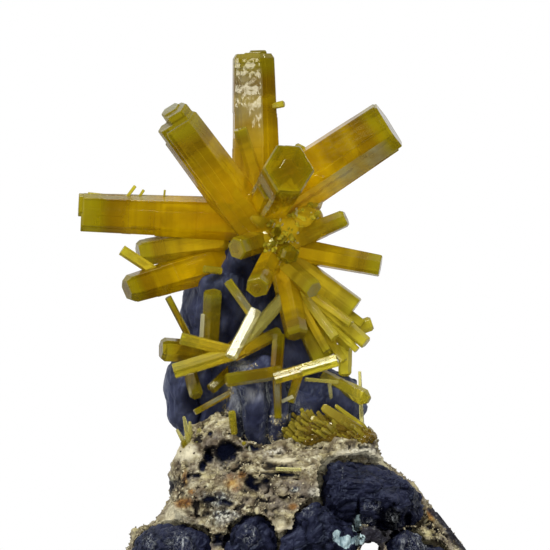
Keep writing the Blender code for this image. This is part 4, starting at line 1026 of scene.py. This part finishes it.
CRUST_VOXEL = 0.16
CRUST_SMOOTHING = 4
CRUMB_COUNT = 9000
CRUMB_SIZES = (0.05, 0.19)
CRUMB_SHAPE = (1.2, 0.8, 0.5)
matrix = fine_copy("matrix_crust", "matrix", CRUST_VOXEL, CRUST_SMOOTHING)
points, normals = surface_of(matrix)
warp = 0.5 * (np.stack([soft_noise(points, 0.7, 3 + k, 2) for k in range(3)], axis=1) - 0.5)
lumps = soft_noise(points, 2.6, 31, 3) - 0.5
chunks, _, tone = grains(points + 2 * warp, 0.8, 41)
loose = np.clip((soft_noise(points, 1.8, 53, 2) - 0.35) / 0.3, 0, 1)
even = spots(points, SMOOTH_PLACES, 61)
sparkle = spots(points, SPARKLE_PLACES, 81, 0.7)
layers = creased(points * np.array((1.0, 1.0, 1.6)) + 2 * warp, 1.5, 67)
crags = creased(points + warp, 0.65, 69)
# small sinks, pushed in and painted near black as shade
sunk = np.clip((soft_noise(points + 2 * warp, 1.0, 71, 4) - 0.655) / 0.05, 0.0, 1.0) * (1 - even)
pale_rim = np.max([near_line(points, corners, 0.45) for corners in PALE_RIMS], axis=0)
beds = spots(points, BED_PLACES, 73, 0.6)
layering = soft_noise(points * np.array((0.3, 0.3, 2.6)) + warp, 1.0, 75, 2) - 0.5
rise = 0.5 * lumps + (0.26 * (layers - 0.5) + 0.22 * (crags - 0.5) + 0.26 * (0.5 - chunks) * loose) * (1 - 0.85 * even)
rise += 0.6 * layering * beds + 0.3 * pale_rim - 0.4 * sunk
kept = np.clip(points[:, 2] / 0.4, 0.0, 1.0)
moved = points + normals * (rise * kept)[:, None]
beyond = moved @ SLOPE[0] - SLOPE[1]
moved -= SLOPE[0] * np.maximum(beyond - 0.3 * lumps, 0.0)[:, None] * 0.9
# the pits are pushed in, and their bottoms painted near black as shade
deep = hollowed(moved, normals, PITS, 77)
hollowed(moved, normals, BOWL, 78)
hollowed(moved, normals, WEB, 79)
dark = np.maximum(spots(points, DARK_PLACES, 95, 0.5, 5.0),
                  np.clip((beyond + 0.7 + lumps) / 0.3, 0, 1) * (points[:, 2] < 6.2))
rust, brown = spots(points, RUST_PLACES, 91, 0.6), spots(points, BROWN_AND_SHADE_PLACES, 92, 0.8)
reshape(matrix, moved, rise=np.clip(0.5 + rise, 0, 1), tone=tone, sunk=sunk, deep=deep, rust=rust, sparkle=sparkle,
        even=even, green=spots(points, GREEN_PLACES, 93, 0.9), brown=brown * (1 - pale_rim),
        dark=dark * (1 - pale_rim), bed=beds, rim=pale_rim, blue=spots(points, BLUE_PLACES, 97, 0.8, 5.0),
        fuzz=spots(points, FUZZ_PLACES, 83, 0.8))
bare = (1 - np.maximum(sunk, deep)) * (1 - 0.92 * even) * (1 - 0.97 * dark) * (1 - 0.9 * sparkle) * (1 - 0.7 * rust)
bare *= (1 - 0.6 * brown) * (1 - 0.8 * pale_rim) * np.clip(points[:, 2] / 0.6, 0, 1)
patchy = np.clip((soft_noise(points, 1.4, 55, 3) - 0.36) / 0.2, 0.02, 1)
loose_crumbs = crumbs("matrix_crumbs", moved, normals, bare * patchy, CRUMB_COUNT, CRUMB_SIZES, 7, CRUMB_SHAPE)


def attribute(tree, name):
    """A mask or a tone that the mesh carries."""
    return node(tree, "ShaderNodeAttribute", {"attribute_name": name}).outputs["Fac"]


def patched(tree, body, *patches):
    """The colour with each patch laid over it in turn: the name of its mask, its share, and its colour, or a noise and
    the stops that colour it."""
    for mask, share, colour, *stops in patches:
        colour = ramp(tree, colour, stops) if stops else colour
        body = mixed(tree, maths(tree, "MULTIPLY", attribute(tree, mask), share), body, colour)
    return body


def blue_coating():
    """The pale-blue coating, as a group: it covers Colour where Share and some of Grain add up high enough."""
    tree, inputs, outputs = new_group(
        "pale_blue_coating", {"Colour": "Color", "Grain": "Float", "Share": "Float"}, {"Colour": "Color"})
    crisp = fade(tree, maths(tree, "MULTIPLY_ADD", inputs["Grain"], 1.1, inputs["Share"]), 0.84, 0.94)
    pale_blue = ramp(tree, inputs["Grain"], ((0.40, (0.14, 0.21, 0.24)), (0.58, (0.44, 0.56, 0.56))))
    tree.links.new(mixed(tree, crisp, inputs["Colour"], pale_blue), outputs["Colour"])
    return tree


coating = blue_coating()
earth, tree, shader = new_material("earthy_crust", 0.85, 0.3)
place = node(tree, "ShaderNodeTexCoord").outputs["Object"]
fleck = noise(tree, place, 2400.0, 3.0, 0.7)
both = maths(tree, "MULTIPLY", maths(tree, "ADD", noise(tree, place, 520.0, 5.0, 0.62), fleck), 0.5)
body = ramp(tree, both, (
    (0.39, (0.08, 0.065, 0.035)),
    (0.46, (0.25, 0.21, 0.115)),
    (0.535, (0.44, 0.39, 0.235)),
    (0.62, (0.69, 0.66, 0.47)),
))
greyer = noise(tree, place, 300.0, 3.0)
body = mixed(tree, fade(tree, greyer, 0.46, 0.60, 0.0, 0.6), body, (0.19, 0.165, 0.15))
shade = noise(tree, place, 760.0, 3.0)
body = mixed(tree, fade(tree, shade, 0.49, 0.60, 0.0, 0.75), body, (0.13, 0.095, 0.055))
body = mixed(tree, fade(tree, shade, 0.36, 0.44, 0.5, 0.0), body, (0.56, 0.50, 0.26))
thin_beds = node(tree, "ShaderNodeMapping", Vector=place, Scale=(0.15, 0.15, 1.0)).outputs[0]
streak = noise(tree, thin_beds, 2600.0, 3.0)
body = patched(
    tree, body,
    ("bed", 0.8, streak, (0.40, (0.16, 0.13, 0.07)), (0.50, (0.43, 0.375, 0.20)), (0.60, (0.70, 0.65, 0.43))),
    # brown stains and painted shade
    ("brown", 0.8, both, (0.42, (0.05, 0.04, 0.035)), (0.56, (0.20, 0.165, 0.125))))
body = mixed(tree, fade(tree, attribute(tree, "tone"), 0.0, 0.35, 0.55, 0.0), body, (0.20, 0.165, 0.12))
body = patched(
    tree, body,
    ("even", 0.9, both, (0.40, (0.42, 0.37, 0.24)), (0.56, (0.74, 0.68, 0.47))),
    ("green", 0.6, both, (0.40, (0.16, 0.12, 0.03)), (0.58, (0.52, 0.47, 0.20))),
    ("rust", 0.9, both, (0.40, (0.11, 0.04, 0.012)), (0.50, (0.30, 0.135, 0.022)), (0.60, (0.50, 0.33, 0.09))),
    # the sparkle patch: dark grains with pale flecks painted as glints
    ("sparkle", 1.0, fleck, (0.44, (0.012, 0.013, 0.03)), (0.50, (0.06, 0.066, 0.07)), (0.56, (0.22, 0.235, 0.21)),
     (0.62, (0.55, 0.57, 0.50))),
    ("fuzz", 0.85, fleck, (0.42, (0.18, 0.165, 0.13)), (0.50, (0.42, 0.40, 0.32)), (0.58, (0.74, 0.71, 0.58))))
# painted shade: hollows are darker, less so under fuzz and on smooth places
low = ramp(tree, attribute(tree, "rise"),
           ((0.20, (0.04, 0.04, 0.055)), (0.32, (0.50, 0.46, 0.42)), (0.43, (1, 1, 1))))
covered = maths(tree, "MAXIMUM", attribute(tree, "fuzz"), attribute(tree, "even"))
body = mixed(tree, maths(tree, "MULTIPLY_ADD", covered, -0.8, 1.0), body, low, "MULTIPLY")
body = patched(
    tree, body,
    ("dark", 0.95, fleck, (0.48, (0.004, 0.004, 0.013)), (0.60, (0.016, 0.018, 0.034)), (0.67, (0.12, 0.12, 0.12))))
body = grouped(tree, coating, Colour=body, Grain=fleck, Share=attribute(tree, "blue"))["Colour"]
body = patched(
    # painted light on the pale rims beside the boulder and the bowl; painted shade, near black, in the sinks and pit
    # bottoms
    tree, body,
    ("rim", 0.75, (0.62, 0.58, 0.42)),
    ("sunk", 0.85, (0.022, 0.017, 0.014)),
    ("deep", 1.0, (0.006, 0.009, 0.03)))
tree.links.new(body, shader.inputs["Base Color"])
rough = node(tree, "ShaderNodeBump", Height=both, Strength=0.9, Distance=0.00022)
tree.links.new(rough.outputs[0], shader.inputs["Normal"])
matrix.data.materials.append(earth)
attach(matrix, "root")
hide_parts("matrix")

crumb, tree, shader = new_material("earthy_crumbs", 0.8, 0.3)
body = ramp(tree, attribute(tree, "tone"), (
    (0.0, (0.11, 0.09, 0.06)),
    (0.3, (0.28, 0.235, 0.15)),
    (0.7, (0.49, 0.43, 0.265)),
    (1.0, (0.62, 0.57, 0.38)),
))
fleck = noise(tree, node(tree, "ShaderNodeTexCoord").outputs["Object"], 1800.0, 3.0, 0.7)
body = mixed(tree, 1.0, body, ramp(tree, fleck, ((0.35, (0.6, 0.58, 0.55)), (0.6, (1, 1, 1)))), "MULTIPLY")
tree.links.new(body, shader.inputs["Base Color"])
loose_crumbs.data.materials.append(crumb)
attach(loose_crumbs, "root")


# ------------------------------------------------------------------ black mineral
# Manganese oxide in kidney-shaped masses with a fibrous, satin skin and a faint blue sheen, painted in at its edges:
# the column, a boulder at the right and smaller nodules round the foot. Crests carry painted highlights; crevices,
# hollows and the column under the burst carry painted shade.
oxide, tree, shader = new_material("manganese_oxide", 0.5, 0.3)
place = node(tree, "ShaderNodeTexCoord").outputs["Object"]
fibre_place = node(tree, "ShaderNodeMapping", Vector=place, Scale=(1.0, 1.0, 0.22)).outputs[0]
fibres = noise(tree, fibre_place, 2200.0, 4.0, 0.65)
body = ramp(tree, noise(tree, place, 260.0, 4.0, 0.6), (
    (0.38, (0.005, 0.005, 0.016)),
    (0.50, (0.014, 0.015, 0.038)),
    (0.64, (0.038, 0.042, 0.088)),
))
# painted highlight: the crests are lighter and bluer
body = patched(tree, body, ("crest", 1.0, (0.080, 0.088, 0.145)))
# painted sheen: bluish towards the edges, where the surface turns away from the view
painted_edge_sheen = node(tree, "ShaderNodeLayerWeight", Blend=0.35).outputs["Facing"]
body = mixed(tree, maths(tree, "MULTIPLY", painted_edge_sheen, 0.85), body, (0.072, 0.088, 0.175))
body = patched(tree, body, ("broken", 0.72, (0.004, 0.004, 0.016)))
# paler places, partly worn and partly a painted highlight, streaked along the fibres
streaky = fade(tree, fibres, 0.40, 0.56, 0.3)
body = mixed(tree, maths(tree, "MULTIPLY", attribute(tree, "light"), streaky), body, (0.33, 0.34, 0.37))
# painted shade: crevices, hollows and the column under the burst are near black
body = patched(tree, body, ("deep", 1.0, (0.001, 0.001, 0.006)))
body = grouped(tree, coating, Colour=body, Grain=fibres, Share=attribute(tree, "blue"))["Colour"]
# whitish cracks: the thin curves where a noise crosses its middle value
cracks = maths(tree, "ABSOLUTE", maths(tree, "SUBTRACT", noise(tree, place, 1300.0, 4.0, 0.7), 0.5))
whitish = maths(tree, "MAXIMUM", fade(tree, cracks, 0.003, 0.016, 0.65, 0.0), fade(tree, fibres, 0.56, 0.66))
body = mixed(tree, maths(tree, "MULTIPLY", attribute(tree, "frost"), whitish), body, (0.38, 0.40, 0.40))
tree.links.new(body, shader.inputs["Base Color"])
shader.inputs["Specular Tint"].default_value = (0.62, 0.75, 1.0, 1.0)
rough = node(tree, "ShaderNodeBump", Height=fibres, Strength=0.5, Distance=0.00006)
tree.links.new(rough.outputs[0], shader.inputs["Normal"])

FROST_PLACES = [(-9.6, 3.0, 2.0, 1.5), (-12.6, 3.0, 0.9, 1.2), (9.6, 6.3, 1.3, 0.6), (9.0, 4.6, 1.6, 0.7),
                (7.0, 11.0, 0.3, 0.5), (6.9, 10.2, 0.2, 0.5), (-3.2, 20.2, 1.6, 1.4), (-3.6, 17.6, 1.0, 1.6),
                (2.6, 15.4, 1.2, 2.4), (14.0, 3.0, 2.2, 1.4), (11.9, 5.0, 1.0, 1.4), (2.6, 6.2, 1.4, 0.8),
                (-2.6, 3.6, 1.2, 1.2), (-0.1, 14.8, 0.9, 0.7), (1.4, 15.4, 0.8, 0.6), (0.9, 13.2, 0.7, 0.6)]
OXIDE_NODES = ("black_column", "black_boulder_right", "black_nodule_left", "black_nodule_middle",
               "black_nodule_under", "black_nodule_right", "black_nodule_back", "black_nodule_side")
# flats that the boulder is broken along: an outward direction and its distance from the origin
BOULDER_FLATS = [
    ((0.66, 0.0, 0.75), 15.5), ((1.0, 0.0, 0.06), 15.2), ((0.13, 0.0, 0.99), 12.0), ((-0.96, -0.2, 0.1), -2.3),
    ((0.0, -0.98, 0.2), 12.3), ((0.5, -0.8, 0.34), 16.6), ((-0.45, -0.85, 0.2), 8.2), ((0.2, -0.5, 0.84), 14.4),
]
BOULDER_HOLLOWS = [(11.3, 5.3, 1.3, 1.5, 1.6), (8.0, 4.2, 1.2, 0.6, 0.8), (8.3, 6.0, 0.2, 1.6, 0.6),
                   (13.2, 5.0, 0.4, 0.9, 0.8)]
# crevices down the column between its lobes, corner by corner, also painted dark as shade, and the places where it is
# paler, partly worn and partly a painted highlight
CREVICES = [((-4.2, 18.5), (-3.9, 17.0), (-3.6, 14.0), (-3.2, 12.4)), ((-0.9, 19.4), (-0.5, 16.4), (-0.8, 12.6)),
            ((1.6, 18.6), (1.8, 15.4), (1.3, 12.2)), ((-8.4, 22.0), (-7.4, 18.0), (-7.9, 14.0))]
PALE_WORN_AND_LIT_PLACES = [(-2.1, 17.4, 1.1, 1.0), (-1.4, 18.6, 0.8, 0.4), (-4.5, 17.8, 0.8, 2.2), (-3.2, 20.4, 1.2, 0.8),
               (-11.2, 19.0, 0.5, 2.0), (0.2, 15.0, 0.6, 1.0), (1.3, 15.2, 0.8, 0.6), (0.7, 13.4, 0.8, 0.5),
               (-0.9, 13.2, 0.4, 0.6)]
# painted shade: under the burst the column is painted blackest
SHADED_PLACES = [(-3.4, 29.6, 3.2, 4.6), (-5.6, 26.6, 2.8, 3.6), (-1.0, 24.6, 2.4, 2.4), (-4.6, 23.4, 2.6, 2.2),
                 (-4.8, 19.8, 2.0, 1.6)]
# where the earthy crust climbs the column's foot as loose grains
DUSTED_PLACES = [(0.4, 15.1, 0.8, 0.8), (1.3, 15.4, 0.6, 0.4), (0.9, 13.5, 1.0, 0.6), (-0.5, 13.0, 0.7, 0.5),
                 (-5.0, 15.4, 0.5, 1.2), (-4.7, 17.8, 0.4, 1.2), (-3.8, 19.7, 0.5, 0.4), (-2.4, 20.3, 0.8, 0.25),
                 (-3.2, 13.0, 0.7, 0.4), (1.8, 14.4, 0.3, 0.9)]
BOULDER_HUB = np.array((9.0, -1.0))
SKIN_VOXEL = 0.17
SKIN_SMOOTHING = 8
DUST_COUNT = 1300
DUST_SIZES = (0.04, 0.16)
FROST_COUNT = 1100
FROST_SIZES = (0.02, 0.06)
FROST_SHAPE = (1.3, 0.7, 0.4)
frost_points, frost_normals, frost_weights = [], [], []
for number, node_name in enumerate(OXIDE_NODES):
    boulder = node_name == "black_boulder_right"
    lump = fine_copy(node_name + "_skin", node_name, SKIN_VOXEL, SKIN_SMOOTHING)
    points, normals = surface_of(lump)
    upright = points * np.array((1.0, 1.0, 0.42))
    kidney, _, _ = grains(points + 0.8 * (soft_noise(points, 2.0, 5, 2)[:, None] - 0.5), 2.4, 100 + number)
    crest = np.clip((0.75 - kidney) / 0.75, 0, 1)
    broken = 0.0 if node_name == "black_column" else 1.0
    # crests get a painted highlight, and creases and crevices painted shade
    if broken:
        warped = points + 1.2 * (soft_noise(points, 1.6, 11, 2)[:, None] - 0.5)
        coarse, fine = creased(warped, 1.7, 130 + number), creased(warped, 0.7, 150 + number)
        crest_height, crease_height = (0.1, 0.24) if boulder else (0.3, 0.4)
        rise = crest_height * crest - 0.1 + crease_height * (coarse - 0.7) + 0.22 * (fine - 0.6)
        crest_highlight, crease_shade = coarse * fine, np.clip(1 - 3.5 * np.minimum(coarse, fine + 0.15), 0, 1)
    else:
        ridged = np.abs(soft_noise(upright, 1.0, 130 + number, 3) - 0.5) * 2
        crevice = np.max([near_line(points, corners, 0.8) for corners in CREVICES], axis=0) ** 2
        rise = 0.5 * crest - 0.04 - 0.38 * ridged + 0.14 * (soft_noise(upright, 0.42, 150 + number, 2) - 0.5)
        rise -= 0.9 * crevice
        crest_highlight, crease_shade = crest * (1 - ridged) * 0.9, 0.75 * crevice
    moved = points.copy()
    if boulder:
        for way, distance in BOULDER_FLATS:
            way = unit(np.array(way))
            moved -= way * np.maximum(moved @ way - distance, 0.0)[:, None] * 0.85
        ring = np.hypot(moved[:, 0] - BOULDER_HUB[0], moved[:, 2] - BOULDER_HUB[1])
        turn = np.arctan2(moved[:, 0] - BOULDER_HUB[0], moved[:, 2] - BOULDER_HUB[1])
        arcs = np.stack([ring + 1.4 * (soft_noise(points, 2.6, 9, 3) - 0.5), turn * 2.2, points[:, 1] * 0.4], axis=1)
        ridges, scratches = creased(arcs, 0.9, 13), creased(arcs * np.array((1.0, 0.6, 1.0)), 0.34, 17)
        rise += 0.34 * (ridges - 0.6) + 0.12 * (scratches - 0.6)
        # painted highlight along the ridges and scratches, painted shade between the ridges
        crest_highlight = np.clip(0.3 * crest_highlight + 1.1 * (ridges * scratches) ** 1.5, 0, 1)
        crease_shade = np.maximum(crease_shade * 0.6, np.clip(1 - 5 * ridges, 0, 1))
    kept = np.clip(points[:, 2] / 0.4, 0.0, 1.0)
    moved += normals * (rise * kept)[:, None]
    deep = hollowed(moved, normals, BOULDER_HOLLOWS, 79) if boulder else np.zeros(len(points))
    frost = spots(points, FROST_PLACES, 170 + number, 0.9)
    light = np.zeros(len(points)) if broken else spots(points, PALE_WORN_AND_LIT_PLACES, 180, 0.9) * (0.6 + 0.4 * crest_highlight)
    if not broken:
        dusted = spots(points, DUSTED_PLACES, 185, 0.8) ** 2
        column_dust = crumbs("column_dust", moved, normals, dusted, DUST_COUNT, DUST_SIZES, 17, CRUMB_SHAPE)
        column_dust.data.materials.append(crumb)
        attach(column_dust, "root")
        frost = np.maximum(frost, 0.8 * np.max([near_line(points, corners, 0.9) for corners in CREVICES[:3]], axis=0))
    shaded = 0.97 * spots(points, SHADED_PLACES, 190, 1.2)
    reshape(lump, moved, crest=crest_highlight * 0.8, deep=np.max([deep, crease_shade, shaded], axis=0), frost=frost,
            broken=np.full(len(points), broken), light=light, blue=spots(points, BLUE_PLACES, 97, 0.8))
    lump.data.materials.append(oxide)
    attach(lump, "root")
    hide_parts(node_name)
    frost_points.append(moved)
    frost_normals.append(normals)
    frost_weights.append(frost ** 2 + 0.001)

frost_grains = crumbs("frost_grains", np.concatenate(frost_points), np.concatenate(frost_normals),
                      np.concatenate(frost_weights), FROST_COUNT, FROST_SIZES, 11, FROST_SHAPE)
frost_skin, tree, shader = new_material("frost", 0.4, 0.5)
glint = ramp(tree, attribute(tree, "tone"), (
    (0.0, (0.10, 0.11, 0.13)),
    (0.6, (0.24, 0.26, 0.27)),
    (1.0, (0.52, 0.54, 0.52)),
))
tree.links.new(glint, shader.inputs["Base Color"])
frost_grains.data.materials.append(frost_skin)
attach(frost_grains, "root")
